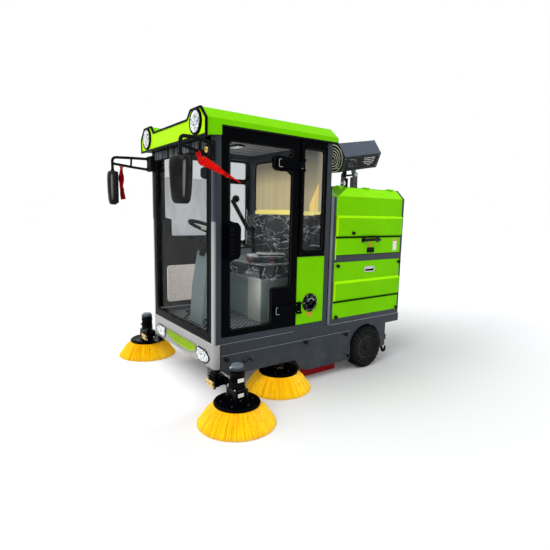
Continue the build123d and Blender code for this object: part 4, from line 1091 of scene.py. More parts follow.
def brush_motor(name, body, at, top, radius, labelled):
    """Ribs, flange bolts, cap and cable gland of a brush's gear motor."""
    x, y = at
    motor = Piece(name, body, "plastic")
    motor.use("post_edge").lathe((x, y, top), UP, [(radius * 0.76, -24), (radius * 0.80, -20),
            (radius * 0.80, -6), (radius * 0.74, 1.5), (radius * 0.3, 2.5), (0.3, 2.5)], 36)
    motor.use("slate").lathe((x, y, top - 30), UP, [(radius - 1.5, 0), (radius - 0.5, 3),
            (radius - 0.5, 12), (radius - 4, 15)], 36)
    motor.use("matt")
    for z in (252, 262, 272, 282, 334, 344) if radius > 40 else (250, 262, 330, 344):
        motor.lathe((x, y, z), UP, [(radius - 4, -1), (radius - 0.4, 0), (radius - 0.4, 4),
                (radius - 4, 5)], 36)
    motor.use("plastic").block((x - radius - 4, x + radius + 4), (y - radius - 4, y + radius + 4),
            (232, 243), 4)
    for dx in (-1, 1):
        for dy in (-1, 1):
            motor.use("steel").bolt((x + dx * (radius - 8), y + dy * (radius - 8), 243), UP, 7)
            motor.use("plastic").block(*[(c + s * (radius - 16), c + s * (radius + 2.5))
                                         for c, s in ((x, dx), (y, dy))], (176, 232), 3)
    motor.use("steel").rod((x, y - radius * 0.6, top - 12), (x, y - radius * 1.05, top - 12),
            7, 12, 1)
    motor.use("matt").rod((x, y - radius, 300), (x, y - radius - 10, 300), 8, 12, 1)
    if labelled:
        for z, width in ((306, 26), (205, 25)):
            look_side = 1 if x > 0 else -1
            face = x + look_side * (radius + (1 if z < 240 else -1.5))
            motor.use("sticker").prism(rounded(rectangle((y - width, y + width - 6),
                    (z - 14, z + 12)), 3, 2), "x", face, face + look_side * 2.2, 0.4)
    motor.make()


def brush_arm(side, end):
    """Pads, bolts, spring and rollers along a lifting arm."""
    arm = Piece("brush_arm_fittings_" + end, "brush_arm_" + end, "black")
    x = lambda v: v * side
    span = lambda a, b: (a * side, b * side)
    arm.block(span(604, 706), (-66, -16), (262, 268), 2)
    arm.block(span(612, 690), (-58, -24), (268, 292), 5)
    arm.use("matt").block(span(622, 680), (-52, -30), (292, 300), 3)
    arm.use("brass")
    for y, z in ((-68, 236), (-62, 208)):
        arm.lathe((x(602), y, z), LEFT * side, [(6, 0), (12.2, 1), (12.2, 22), (10.5, 25),
                (12.2, 28), (12.2, 70), (10.5, 73), (12.2, 76), (12.2, 97), (6, 98)], 20)
    arm.use("steel")
    for y, z in ((-68, 236), (-62, 208)):
        for a, b in ((598, 602), (700, 704)):
            arm.rod((x(a), y, z), (x(b), y, z), 7, 6, 0.8, False)
    for a, z, size in ((560, 250, 8), (620, 222, 8), (752, 232, 9), (512, 232, 13)):
        arm.bolt((x(a), 11, z), -BACK, size)
    arm.use("black").prism([(x(594), 251), (x(780), 251), (x(780), 262), (x(640), 276),
            (x(594), 268)], "y", 20, 26, 1)
    arm.block(span(796, 806), (8, 46), (196, 262), 2)
    arm.use("steel")
    coil = [(x(620 + 90 * t), 33 + 7 * cos(t * 60), 268 + 7 * sin(t * 60))
            for t in (k / 150 for k in range(151))]
    arm.tube(coil, 1.5, 6)
    arm.rod((x(610), 33, 268), (x(722), 33, 268), 3, 10)
    arm.make()


# ------------------------------------------------------------------ wheels
TREAD_BLOCKS, TREAD_STEPS = 30, 8       # blocks round a tyre, and steps in each


def tread_depth(across, step):
    """How deep the tread is cut at a place across the tyre, on one step of a block."""
    far = abs(across)
    phase = (step + (0 if far >= 30 else 4) + (2 if across > 0 else 0)) % TREAD_STEPS
    if far <= 8:
        return 6.0 if phase == 0 else 0.0
    if far <= 20 or far >= 30:
        return 8.0 if phase < 2 else 0.0
    return 8.0 if far < 24 else 0.0     # the groove that runs all the way round


def tyre(name, node, body, centre, inner=102):
    """A tyre with a blocky tread, shoulder lugs and a ringed side wall."""
    piece = Piece(name, body, "tyre")
    x0, y0, z0 = centre
    profile = [(inner, -50), (inner + 6, -54), (128, -60), (134, -61.5), (137, -60.5), (146, -62),
               (160, -61.5), (170, -60), (180, -57), (185, -54), (189, -48), (192, -38), (192, -27),
               (192, -22), (192, -18), (192, -6), (192, 0), (192, 6), (192, 18), (192, 22),
               (192, 27), (192, 38), (189, 48), (185, 54), (180, 57), (170, 60), (160, 61.5),
               (146, 62), (137, 60.5), (134, 61.5), (128, 60), (inner + 6, 54), (inner, 50)]
    rings = []
    for k, a in enumerate(turns(TREAD_BLOCKS * TREAD_STEPS)):
        ring = []
        for radius, h in profile:
            r = radius - (tread_depth(h, k) if radius > 175 else 0.0)
            ring.append((x0 + h, y0 + r * cos(a), z0 + r * sin(a)))
        rings.append(ring)
    rings.append(rings[0])
    piece.skin(rings, around=False, caps=False, smooth=True)
    thing = piece.make(sharp=28)
    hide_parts(node)


def wheel_fittings(name, body, centre, out):
    """Nuts, hub cap, valve and the dish's pressed ring on the outer face of a rim, with painted
    highlight rings on the rim and the tyre's side wall, and painted shade in place of hand holes.
    """
    piece = Piece(name, body, "rim")
    x0, y0, z0 = centre
    axis = LEFT * out
    at = lambda h: (x0 + h * out, y0, z0)
    piece.lathe(at(0), axis, [(101.5, 46), (103, 51), (99, 53), (95, 51), (93, 44)], 56)
    piece.lathe(at(0), axis, [(78, 10), (80, 14), (75, 17), (66, 17), (62, 13)], 56)
    # painted highlights: thin grey rings on the rim's flange and dish and on the tyre's side wall
    for ring_radius, level, thick in ((101, 52.5, 1.5), (72, 16.5, 1.3), (122, 60, 1.0),
            (152, 62, 0.8)):
        piece.use("lug").tube([Vector(at(level))
                               + Vector((0, ring_radius * cos(a), ring_radius * sin(a)))
                               for a in turns(72)], thick, 6, closed=True)
    piece.use("rim").lathe(at(0), axis, [(36, 33), (36, 41), (33, 45), (22, 47), (20, 52), (10, 54),
            (0.3, 54.5)], 36)
    piece.use("steel")
    for i in range(5):
        a = radians(72 * i + 18)
        spot = Vector(at(19)) + Vector((0, 50 * cos(a), 50 * sin(a)))
        piece.lathe(spot, axis, [(11, -4), (11, 3), (9, 5)], 18)
        piece.lathe(spot, axis, [(8.4, 4), (8.4, 13), (6, 15), (4.5, 19), (0.3, 19)], 6, False)
    piece.use("matt").rod(Vector(at(8)) + Vector((0, 62, 62)), Vector(at(30)) + Vector((0, 56, 56)),
            3.4, 10, 0.6)
    # painted shade: eight matt black discs standing for the rim's hand holes
    for i in range(8):
        a = radians(45 * i)
        spot = Vector(at(7.5)) + Vector((0, 82 * cos(a), 82 * sin(a)))
        piece.lathe(spot, axis, [(8.5, -1), (8.5, 0.6), (6.5, 1.2), (0.3, 0.2)], 16)
    piece.make()


def wheel_arches():
    """Dark liners round the rear wheels, closed towards the middle."""
    for side, end in sides():
        liner = Piece("wheel_arch_" + end, "chassis", "matt")
        _, y, z = REAR_WHEEL
        angles = [radians(-14 + 208 * k / 36) for k in range(37)]
        liner.skin([[(x * side, y + r * cos(a), z + r * sin(a)) for a in angles]
                    for x, r in ((553, 207.5), (440, 207.5), (440, 204), (552, 204))], around=False,
                   along=True)
        liner.skin([[(x * side, y + r * cos(a), z + r * sin(a)) for a in angles]
                    for x, r in ((440, 206), (440, 60), (437, 60), (437, 206))], around=False,
                   along=True)
        liner.make()


# ------------------------------------------------------------------ cab, outside
def screen_louvre():
    """Ribbed dark air screen between the roof's front face and the windshield."""
    louvre = Piece("front_air_screen", "chassis", "matt")
    louvre.prism(rectangle((-468, 468), (1794, 1866)), "y", -3, 2.5, 1)
    louvre.use("screen")
    draw = random.Random(31)
    x = -462.0
    while x < 462:
        wide = draw.uniform(5, 11)
        louvre.use(draw.choice(("screen", "lug", "matt")))
        louvre.prism(rectangle((x, min(x + wide, 464)), (1798 + draw.uniform(0, 5), 1862)),
                     "y", -8, -2.5, 1.2)
        x += wide + draw.uniform(3, 7)
    louvre.use("matt").band(rectangle((-470, 470), (1792, 1868)), "y", 2.5, -7, out=3,
            inner=4, edge=1)
    louvre.make()


def windshield_trim():
    """Rubber seal round the windshield."""
    trim = Piece("windshield_seal", "chassis", "seal")
    opening = rounded(rectangle(*WINDSHIELD), 42, 6)
    trim.band(opening, "y", 20, -0.5, out=7, inner=5, edge=1.5)
    trim.make()


def pillar_seams():
    """Joint lines and screws along the front pillars, and painted highlight lines along the
    bumper's top edge and the sides at that height.
    """
    seam = Piece("pillar_seams", "chassis", "cream")
    # painted highlight: a cream line along the bumper's top edge
    seam.prism(rectangle((-547, 547), (452.5, 457)), "y", -2.2, 1.0, 0.8)
    for side, _ in sides():
        edge = side * (SIDE_X + 0.2), side * (SIDE_X + 2.0)
        # painted highlight: a light line along each side at the same height
        seam.use("painted_edge_highlight").prism(rectangle((34, 700), (453.5, 455.5)), "x", *edge, 0.4)
        seam.use("seal").prism(rectangle((46.5, 48.5), (280, 452)), "x", side * (SIDE_X + 5.2),
                side * (SIDE_X - 2))
        seam.use("seal").prism(rectangle((50, 57.5), (500, 1940)), "x", side * (SIDE_X - 12),
                side * (SIDE_X - 3))
        seam.use("steel").screw((side * 562, 2, 430), -BACK, 4.5)
    seam.make()


def mirror_arms():
    """Brackets on the front pillars, and the tube loops that carry the mirrors."""
    arms = Piece("mirror_arms", "chassis", "mirror_shell")
    for side, _ in sides():
        x = lambda v: v * side
        arms.use("matt").block((x(548 if side > 0 else 494), x(590)), (-34, 0), (1712, 1838), 3)
        arms.tube(bend([(x(575), -30, 1818), (x(672), -150, 1826), (x(700), -292, 1822),
                        (x(700), -292, 1700)], 34, 8), 11.5, 14)
        arms.tube(bend([(x(575), -30, 1730), (x(640), -120, 1744), (x(700), -286, 1770)], 30,
                       8), 11, 14)
        arms.rod((x(655), -150, 1740), (x(662), -143, 1824), 8.5, 12)
    arms = arms.make()
    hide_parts("mirrors")


def mirror_fittings():
    """Mirror glass and shell, clamps on the tube loop, the bracket's bolts and a reflector."""
    for side, end in sides():
        piece = Piece("mirror_fittings_" + end, "chassis", "matt")
        turn = radians(MIRROR_TURN[side]) * side
        spin = Matrix.Rotation(turn, 3, "Z")
        pivot = Vector((MIRROR_AT[0] * side, MIRROR_AT[1], 0))
        local = lambda x, y, z: pivot + spin @ Vector((x, y, 0)) + Vector((0, 0, z))
        outline = [(-40, 1440), (40, 1440), (51, 1500), (58, 1590), (60, 1680), (54, 1700),
                   (-54, 1700), (-60, 1680), (-58, 1590), (-51, 1500)]

        def face(points, y):
            return [local(x, y, z) for x, z in points]

        rim = rounded(outline, 12, 3)
        piece.skin([face(offset(rim, g), y) for g, y in ((1, 28), (1, 38.5), (-3, 40.5), (-6, 38),
                (-6, 30))])
        piece.use("mirror_glass").skin([face(offset(rim, -5.5), 33), face(offset(rim, -5.5), 37)])
        shell = Piece("mirror_shell_" + end, "chassis", "mirror_shell")
        rows = []
        for z, half, deep in ((1424, 26, 16), (1425.5, 38, 25), (1431, 47, 32), (1444, 54, 38),
                (1474, 59.5, 42), (1520, 64, 45), (1580, 67.5, 47), (1640, 69.5, 47),
                (1672, 69, 45), (1694, 65, 41), (1704, 57, 34), (1707.5, 42, 24), (1708, 26, 12)):
            ring = []
            for k in range(48):
                a = 2 * pi * k / 48
                ring.append(local(half * copysign(abs(cos(a)) ** 0.7, cos(a)),
                                  deep * copysign(abs(sin(a)) ** (0.8 if a > pi else 0.35), sin(a))
                                  * (1 if a > pi else 0.86), z))
            rows.append(ring)
        shell.skin(rows, smooth=True).make(sharp=70)
        piece.use("matt")
        piece.lathe((MIRROR_AT[0] * side, MIRROR_AT[1], 1706), UP, [(15, -4), (15, 14), (11, 18),
                (11, 34), (9, 36)], 20)
        for z in reversed(BRACKET_Z):
            piece.use("plastic").rod((575 * side, -28, z), (575 * side, -56, z), 12, 16, 2)
            piece.use("dark_bolt").bolt((590 * side, -22, z), LEFT * side, 6)
        piece.use("matt")
        for z in (1722, 1742, 1806, 1828):
            piece.block((547 * side, 591 * side), (-36, 0), (z - 3, z + 3), 2)
        piece.use("dark_bolt")
        for z in (1725, 1775, 1825):
            piece.bolt((556 * side, -34, z), -BACK, 6.5)
        if side > 0:
            # round amber reflector on its plate, inboard of the left bracket
            spot = (492, -8, 1790)
            piece.use("matt").lathe(spot, -BACK, [(24, -1), (24, 3), (21, 5)], 28)
            piece.use("amber").lathe(spot, -BACK, [(21, 2), (21, 7), (17, 11), (8, 13),
                    (0.3, 13.4)], 28)
            piece.use("matt").lathe((495, -20, 1789), -BACK, [(7, -2), (7, 1.2), (0.3, 1.6)], 14)
        piece.make()


def ribbon_piece(name, path, widths, twist, puff, look, frayed):
    """A soft ribbon: one sheet, rolled into a loose tube at its knot and fanned out at its tail."""
    piece = Piece(name, "chassis", look)
    points = bend(path, 40, 5)
    dense = []
    for a, b in zip(points, points[1:]):
        dense += [a.lerp(b, k / 4) for k in range(4)]
    dense.append(points[-1])
    draw = random.Random(len(name))
    rows, total = [], len(dense) - 1
    across_count = 40
    side = None
    for i, here in enumerate(dense):
        t = i / total
        heading = (dense[min(i + 1, total)] - dense[max(i - 1, 0)]).normalized()
        if side is None:
            side = heading.cross(UP).normalized()
        side = (side - heading * side.dot(heading)).normalized()
        normal = heading.cross(side)
        k = t * (len(widths) - 1)
        low = min(int(k), len(widths) - 2)
        width = widths[low] * (1 - k + low) + widths[low + 1] * (k - low)
        row = []
        for j in range(across_count + 1):
            u = j / across_count
            s = (u - 0.5) * 2
            fold = puff * width * 0.22 * sin(u * 13 + t * 9) * (1 - 0.5 * t)
            turn = twist * t + s * 2.2 * (1 - t * 0.55)
            radius = width * 0.5 * (1 - t * 0.25)
            offset_side = sin(turn) * radius * (0.4 + 0.6 * abs(s))
            offset_up = -cos(turn) * radius * 0.55 + fold
            ragged = frayed * (t > 0.9) * draw.uniform(-6, 6)
            row.append(here + side * offset_side + normal * offset_up + heading * ragged)
        rows.append(row)
    piece.patch(rows, smooth=True)
    return piece.make(sharp=75, open_shape=True)


def ribbons():
    """The two ribbons on the mirror arms, each hanging from a knot of loops."""
    left = ribbon_piece("ribbon_left", [(660, -162, 1728), (676, -140, 1690), (712, -104, 1664),
            (756, -58, 1628), (812, -6, 1592), (852, 36, 1560)], (20, 50, 62, 58, 54, 50, 46, 34,
            20, 10), 2.4, 1.6, "ribbon", False)
    right = ribbon_piece("ribbon_right", [(-679, -223, 1736), (-684, -228, 1664),
            (-677, -222, 1600), (-686, -226, 1540), (-676, -218, 1474)], (22, 46, 54, 46, 54, 52,
            78), 1.0, 1.1, "dark_ribbon", True)
    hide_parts("ribbons")
    for side, end in sides():
        knot = Piece("ribbon_knot_" + end, "chassis", "ribbon" if side > 0 else "dark_ribbon")
        centre = Vector((661, -157, 1738) if side > 0 else (-679, -223, 1754))
        for tilt, reach in ((0.5, 17), (2.2, 15), (3.9, 18), (5.3, 14)):
            loop = [centre + Vector((cos(tilt) * reach * sin(a) * 0.9,
                                     sin(tilt) * reach * sin(a) * 0.9, -8 + 11 * cos(a)))
                    for a in turns(18)]
            knot.tube(loop, 3.4, 8, closed=True, flat=0.5)
        ring = [centre + Vector((11 * cos(a) * 0.4, 11 * cos(a), 11 * sin(a))) for a in turns(20)]
        knot.tube(ring, 4.2, 8, closed=True)
        knot.make()


def door_trim():
    """Glass seals, handle details, strap covers and hinge bolts of each door, with a painted
    highlight on each strap.
    """
    for side, end in sides():
        trim = Piece("door_trim_" + end, "door_" + end, "seal")
        x = lambda v: (SIDE_X + v) * side
        for pane in door_panes(side):
            trim.band(rounded(pane, 24, 5), "x", x(-9), x(1.6), out=3.5, inner=4.5, edge=1.0)
        trim.use("black")
        for corner, towards in door_corners(side):
            trim.prism(fillet(corner, towards, 44), "x", x(-8), x(0.3))
        z0, z1 = HINGE_Z[0]
        notch = [(470, z0 - 12), (590, z0 - 12), (620, z0 - 30), (660, z0 - 60), (660, z1 + 60),
                 (620, z1 + 30), (590, z1 + 12), (470, z1 + 12)]
        trim.use("black").prism(rounded(notch, 26, 5), "x", x(-10), x(0.4), 0.6)
        plate = rounded([(76, 1054), (184, 1054), (204, 1080), (206, 1276), (182, 1310),
                         (76, 1310)], 16, 4)
        trim.prism(plate, "x", x(-1), x(7), 1.2)
        bow = [(4, 1056), (34, 1060), (50, 1072), (57, 1112), (59, 1180), (57, 1248), (50, 1288),
               (34, 1300), (4, 1304), (4, 1266), (28, 1246), (31, 1180), (28, 1116), (4, 1096)]
        trim.prism(rounded([(x(v), z) for v, z in bow], 8, 3), "y", 84, 126, 4)
        trim.rod((x(5), 144, 1118), (x(16), 144, 1118), 12, 24, 1)
        trim.prism(rounded(rectangle((132, 152), (1160, 1226)), 6, 3), "x", x(6), x(14), 1.2)
        for z0, z1 in HINGE_Z:
            strap = rounded([(507, z0 + 2), (698, z0 + 2), (698, z1 - 2), (507, z1 - 2)], 12, 4)
            trim.use("black").prism(strap, "x", x(17), x(21.5), 1.6)
            # painted highlight: a light C-shaped line at the front end of each strap
            hook = [(545, z0 + 8), (516, z0 + 8), (512, z0 + 14), (512, z1 - 14), (516, z1 - 8),
                    (530, z1 - 8)]
            trim.use("painted_edge_highlight").tube(bend([(x(21.6), y, z) for y, z in hook], 8), 1.7, 8)
            for y in (560, 620, 672):
                trim.use("black").bolt((x(21), y, (z0 + z1) / 2), LEFT * side, 7)
            trim.use("steel").rod((HINGE[0] * side, HINGE[1], z0 + 11.5),
                    (HINGE[0] * side, HINGE[1], z0 + 9), 9.5, 16, 0.6)
        trim.use("seal").band(rounded(rectangle((62, 714), (510, 1933)), 12, 4), "x", x(-24.6),
                x(-27.5), out=3, inner=9, edge=0.8)
        trim.use("black").lathe((x(16), 144, 1118), LEFT * side, [(8, -1), (8, 1.6), (5.5, 2.2),
                (2, 2.2), (2, 0.6)], 20)
        trim.use("plastic")
        for z in (1100, 1130, 1160, 1200, 1230, 1262):
            rib = (x(50), x(60)) if 1110 < z < 1250 else (x(44), x(56))
            trim.block(rib, (90, 120), (z - 2, z + 2), 1)
        trim.use("black")
        for y, z in ((92, 1066), (92, 1296), (150, 1290)):
            trim.screw((x(5), y, z), LEFT * side, 4)
        trim.make()


def fillet(corner, towards, radius):
    """What is left between a square corner and a quarter circle.

    towards holds the signs of the two directions that lead into the pane.
    """
    (a, b), (da, db) = corner, towards
    arc = [(a + da * radius * (1 - sin(t)), b + db * radius * (1 - cos(t)))
           for t in (pi / 2 * k / 8 for k in range(9))]
    return [(a, b)] + arc


def door_corners(side):
    """Corners of a door's panes, with the directions into the pane."""
    low, high = HINGE_Z[0][0] - 16, HINGE_Z[0][1] + 16
    shared = [((110, 1850), (1, -1)), ((655, 1850), (-1, -1)), ((655, high), (-1, 1)),
              ((655, low), (-1, -1)), ((122, 550), (1, 1)), ((480, 550), (-1, 1))]
    if side > 0:
        return shared + [((655, 822), (-1, 1))]
    return shared + [((655, 1155), (-1, 1)), ((122, 890), (1, -1)), ((480, 890), (-1, -1))]


def door_panes(side):
    """Outlines of a door's glass, as the door is cut."""
    strap = HINGE_Z[0]
    upper = [(655, strap[0] - 16), (487, strap[0] - 16), (487, strap[1] + 16), (655, strap[1] + 16),
             (655, 1850), (110, 1850), (110, 1318), (166, 1306)]
    if side > 0:
        return [[(122, 550), (480, 550), (480, 822), (655, 822)] + upper + [(166, 1056),
                (118, 1044)]]
    return [[(122, 550), (480, 550), (480, 890), (122, 890)], [(166, 1155), (655, 1155)] + upper]


def quarter_trim():
    """Seals, black frames and corner bolts of the quarter windows."""
    trim = Piece("quarter_window_trim", "chassis", "seal")
    for side, _ in sides():
        x = lambda v: (SIDE_X + v) * side
        for low, high in [(1095, 1868)] if side > 0 else [(1095, 1662), (1700, 1868)]:
            pane = rounded(rectangle(QUARTER_Y, (low, high)), 30, 5)
            trim.use("seal").band(pane, "x", x(-9), x(2.2), out=5, inner=5, edge=1.2)
        trim.use("black").band(rounded(rectangle((738, 1001), (1052, 1935)), 8, 3), "x", x(-1),
                x(3), out=0, inner=9, edge=1.2)
        trim.use("dark_bolt")
        for y in (752, 988):
            for z in (1072, 1480, 1902):
                trim.bolt((x(0.6), y, z), LEFT * side, 5)
    trim.make()


def panel_trim():
    """Folded edges of the green cab panels and the blank plate under the filler cap."""
    trim = Piece("cab_panel_trim", "chassis", "green")
    for side, _ in sides():
        x = lambda v: (SIDE_X + v) * side
        trim.use("green").band(rectangle((727, 1000), (507, 1041)), "x", x(-1), x(2.0), out=1.5,
                inner=4, edge=0.8)
    y = CAP_AT[0]
    plate = [(y - 34, 592), (y + 34, 592), (y + 8, 556), (y - 8, 556)]
    trim.use("orange").prism(plate, "x", SIDE_X - 0.3, SIDE_X + 1.2, 0.2)
    trim.make()


def cap_details():
    """Ring, screws and grip plate on the round cap, with painted glints on the ring."""
    cap = Piece("filler_cap_details", "chassis", "steel")
    y, z = CAP_AT
    cap.use("plastic").lathe((SIDE_X, y, z), LEFT, [(60, 9), (59.5, 15), (57, 17), (49, 17),
            (47.5, 15), (47, 9)], 48)
    # painted glints: six short grey arcs on the ring
    for k in (0.35, 1.2, 2.2, 3.3, 4.2, 5.3):
        arc = [Vector((SIDE_X + 17, y + 53 * cos(a), z + 53 * sin(a)))
               for a in (k + t * 0.055 for t in range(9))]
        cap.use("lug").tube(arc, 3.2, 8)
    for k in range(6):
        a = radians(60 * k)
        cap.use("steel").screw((SIDE_X + 8, y + 66 * cos(a), z + 66 * sin(a)), LEFT, 5.5)
    arc = [Vector((SIDE_X + 16, y + 33 * cos(a), z + 4 + 33 * sin(a)))
           for a in (k / 14 * 2.6 + 0.3 for k in range(15))]
    cap.use("steel").tube(arc, 3.6, 8)
    cap.use("plastic")
    for k in range(24):
        a = radians(15 * k)
        cap.lathe((SIDE_X + 6, y + 72.5 * cos(a), z + 72.5 * sin(a)), LEFT,
                  [(3, -4), (3, 2), (2, 3), (0.2, 3)], 8)
    cap.make()


def skirt_details():
    """Screws, seams, edge strips, knobs and a tow hook along the chassis sides."""
    for side, end in sides():
        x = lambda v: (SIDE_X + v) * side
        skirt = Piece("skirt_details_" + end, "chassis", "slate")
        skirt.prism(rectangle((50, 1341), (368.5, 372.5)), "x", x(4.5), x(7), 0.8)
        skirt.prism(rectangle((1119, 1998), (448, 453)), "x", x(-0.5), x(2.2), 0.7)
        # painted highlight: a light line at the skirt's edge beside the wheel arch
        skirt.use("post_edge").prism(rectangle((1342, 1349), (112, 368)), "x", x(-2), x(1.2), 0.4)
        # painted highlight: a light line along the sill's edge under the box
        skirt.use("painted_edge_highlight").prism(rectangle((1092, 1996), (452.5, 455)), "x", x(0.5),
                x(2.6), 0.4)
        skirt.prism(rectangle((52, 1340), (371.5, 373.2)), "x", x(6.2), x(7.3), 0.3)
        hook = bend([(x(-30), 1798, 232), (x(-30), 1802, 160), (x(-22), 1824, 92),
                     (x(-22), 1852, 98), (x(-22), 1858, 138)], 18)
        skirt.use("matt").tube(hook, [12] * (len(hook) - 3) + [11, 10, 9], 12)
        skirt.block((x(-44), x(-8)), (1766, 1846), (206, 262), 4)
        skirt.use("dark_bolt")
        for y in range(100, 1990, 145):
            skirt.screw((x(0.4), y, 412), LEFT * side, 4.2)
        skirt.use("plastic")
        for y, z, out in ((93, 340, 29), (826, 349, 29), (1283, 346, 29), (1320, 146, 29),
                          (1151, 516, 24), (1151, 953, 24), (1945, 516, 24), (1945, 953, 24)):
            for a in turns(8):
                lobe = y + 13 * cos(a), z + 13 * sin(a)
                skirt.rod((x(out - 12), *lobe), (x(out - 1), *lobe), 3.2, 8, 0.8)
            skirt.lathe((x(out - 1), y, z), LEFT * side, [(12, -1), (12, 1), (9, 2.4),
                    (0.3, 2.4)], 20)
        skirt.make()


# ------------------------------------------------------------------ cab, inside
def headliner():
    """Padded roof lining with ribs and a reading lamp."""
    liner = Piece("headliner", "chassis", "headliner")
    liner.prism(rounded(rectangle((-500, 500), (52, 1000)), 40, 4), "z", 1930, 1938, 2)
    for k in range(-3, 4):
        liner.use("headliner").prism(rounded(rectangle((k * 138 - 58, k * 138 + 58), (90, 960)), 20,
                3), "z", 1926, 1931, 2)
    liner.use("plastic").prism(rounded(rectangle((-70, 70), (470, 560)), 14, 3), "z", 1914, 1927, 3)
    liner.use("lamp").prism(rounded(rectangle((-56, 56), (484, 546)), 10, 3), "z", 1909, 1915, 2)
    liner.make()


def floor_mat():
    """Rubber mat with crossed tread lugs where the driver's feet go, their light grey a painted
    highlight.
    """
    mat = Piece("floor_mat", "chassis", "tread_plate")
    mat.prism(rounded(rectangle((-535, 535), (58, 990)), 20, 3), "z", 470, 474, 0.8)
    # painted highlights: the lugs are light grey
    mat.use("painted_edge_highlight")
    for i in range(-11, 12):
        for j in range(0, 19):
            cx, cy = i * 46 + (23 if j % 2 else 0), 84 + j * 27
            if abs(cx) < 514 and not (abs(cx) < 125 and 120 < cy < 345) and cy < 585:
                lean = 0.7 if (i + j) % 2 else -0.7
                dx, dy = cos(lean) * 17, sin(lean) * 17
                corners = (-dx, -dy), (dy * 0.38, -dx * 0.38), (dx, dy), (-dy * 0.38, dx * 0.38)
                mat.skin([[(cx + u * s, cy + v * s, z) for u, v in corners]
                          for s, z in ((1, 473.8), (0.7, 475.8))])
    mat.make()


def console():
    """The steering pedestal with its cheeks, switches, shaft boot and the two pedals."""
    hub, axis = STEER_HUB, STEER_AXIS
    side = rounded([(134, 470), (330, 470), (336, 1058), (290, 1074), (208, 1056),
                    (160, 790)], 10, 3)
    pedestal = Piece("console_housing", "chassis", "cab_grey").prism(side, "x", -110, 110, 2)
    pedestal.use("plastic").rod(hub - axis * 230, hub - axis * 40, 34, 28, 2)
    pedestal = pedestal.make()
    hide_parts("console")

    dash = Piece("console_details", "chassis", "cab_grey")
    cheek = rounded([(136, 474), (329, 474), (334, 1056), (290, 1071), (210, 1054),
                     (162, 790)], 10, 3)
    for s in (-1, 1):
        dash.use("cab_grey").prism(cheek, "x", s * 109.5, s * 112.5, 1)
        dash.use("dark_bolt")
        for y, z in ((312, 520), (314, 780), (316, 1020), (160, 520), (182, 780), (226, 1020)):
            dash.screw((s * 112.5, y, z), LEFT * s, 5)
    for low, high in ((-92, -30), (44, 96)):
        dash.use("plastic").prism([(212, 1060), (286, 1076), (286, 1088), (210, 1072)], "x", low,
                high, 1.5)
    for k, look in enumerate(("steel", "orange", "plastic", "steel")):
        dash.use(look).lathe((54 + 13 * k, 232 + 22 * (k % 2), 1074 + 4 * (k % 2)), UP,
                [(6, 0), (6, 7), (5, 10), (0.3, 10)], 14)
    dash.use("seal").lathe(hub - axis * 196, axis, [(54, 0), (52, 30), (46, 40), (42, 54), (38, 62),
            (35, 76)], 28)
    for sx, wide in ((-190, 46), (180, 54)):
        dash.use("matt").prism(rounded(rectangle((sx - wide, sx + wide), (150, 268)), 10, 3), "z",
                520, 532, 3)
        for r in range(6):
            dash.use("seal").block((sx - wide + 8, sx + wide - 8), (162 + r * 17, 170 + r * 17),
                    (531, 536), 1.5)
        dash.use("plastic").tube(bend([(sx, 210, 522), (sx, 150, 500), (sx, 120, 474)], 30), 8, 10)
    dash.make()


def seat_box():
    """Covers on the seat box, the control box's knobs and the battery cover beside the seat."""
    base = Piece("seat_box_details", "chassis", "cab_grey")
    base.use("cab_grey").prism(rounded(rectangle((-280, 280), (484, 850)), 12, 3), "y", 586,
            590.5, 1.2)
    base.use("pale_panel").prism(rounded(rectangle((96, 286), (478, 856)), 8, 3), "y", 580,
            587, 1.5)
    base.use("cab_grey").band(rounded(rectangle((-276, 70), (500, 830)), 10, 3), "y", 588, 583,
            out=2, inner=8, edge=1)
    base.use("steel")
    for x in (-262, 56):
        for z in (512, 820):
            base.screw((x, 584, z), -BACK, 5)
    for z in (640, 670):
        base.screw((207, 580, z), -BACK, 5)
    base.use("plastic").block((-440, -340), (602, 898), (1038, 1052), 6)
    for k in range(4):
        base.use("steel").lathe((-390, 640 + 60 * k, 1051), UP, [(11, 0), (11, 3), (4, 5), (4, 22),
                (6, 30), (3, 36), (0.3, 37)], 16)
    base.use("matt").block((-428, -352), (850, 886), (1050, 1078), 8)
    for low, high, edge in ((640, 652, 3), (470, 640, 2)):
        base.use("tray").prism(rounded(rectangle((300, 500), (640, 980)), 14, 3), "z", low,
                high, edge)
    base.make()


def window_films():
    """Protective films on the rear and quarter windows."""
    film = Piece("rear_window_film", "chassis", "beige_film")
    opening = rounded(rectangle(*REAR_WINDOW), 45, 5)
    film.prism(offset(opening, -2), "y", 1009, 1011, 0.2)
    film.use("seal").band(opening, "y", 1011, 1001, out=8, inner=5, edge=2)
    film.use("beige_film").prism(rectangle((-436, 436), (1366, 1404)), "y", 996.5, 999, 0.5)
    film.make()

    side_film = Piece("quarter_window_film", "chassis", "quarter_film")
    side_film.prism(rounded(rectangle((772, 966), (1374, 1862)), 24, 4), "x", SIDE_X - 19,
                    SIDE_X - 18)
    side_film.make()


def door_lining():
    """Dark lining and films inside the right door."""
    lining = Piece("door_lining", "door_right", "lining")
    inner = -(SIDE_X - 25.5)
    for y, z in (((70, 708), (893, 1150)), ((70, 112), (516, 1880)), ((664, 708), (516, 1880)),
                 ((70, 708), (1856, 1896))):
        lining.use("lining").prism(rounded(rectangle(y, z), 8, 3), "x", inner, inner + 3, 0.8)
    lining.use("door_film")
    lining.prism(rounded([(170, 1160), (650, 1160), (650, 1682), (114, 1676), (114, 1322),
            (170, 1310)], 18, 4), "x", inner + 4.5, inner + 5)
    lining.prism(rounded(rectangle((126, 476), (554, 886)), 20, 4), "x", inner + 4.5, inner + 5)
    lining.make()


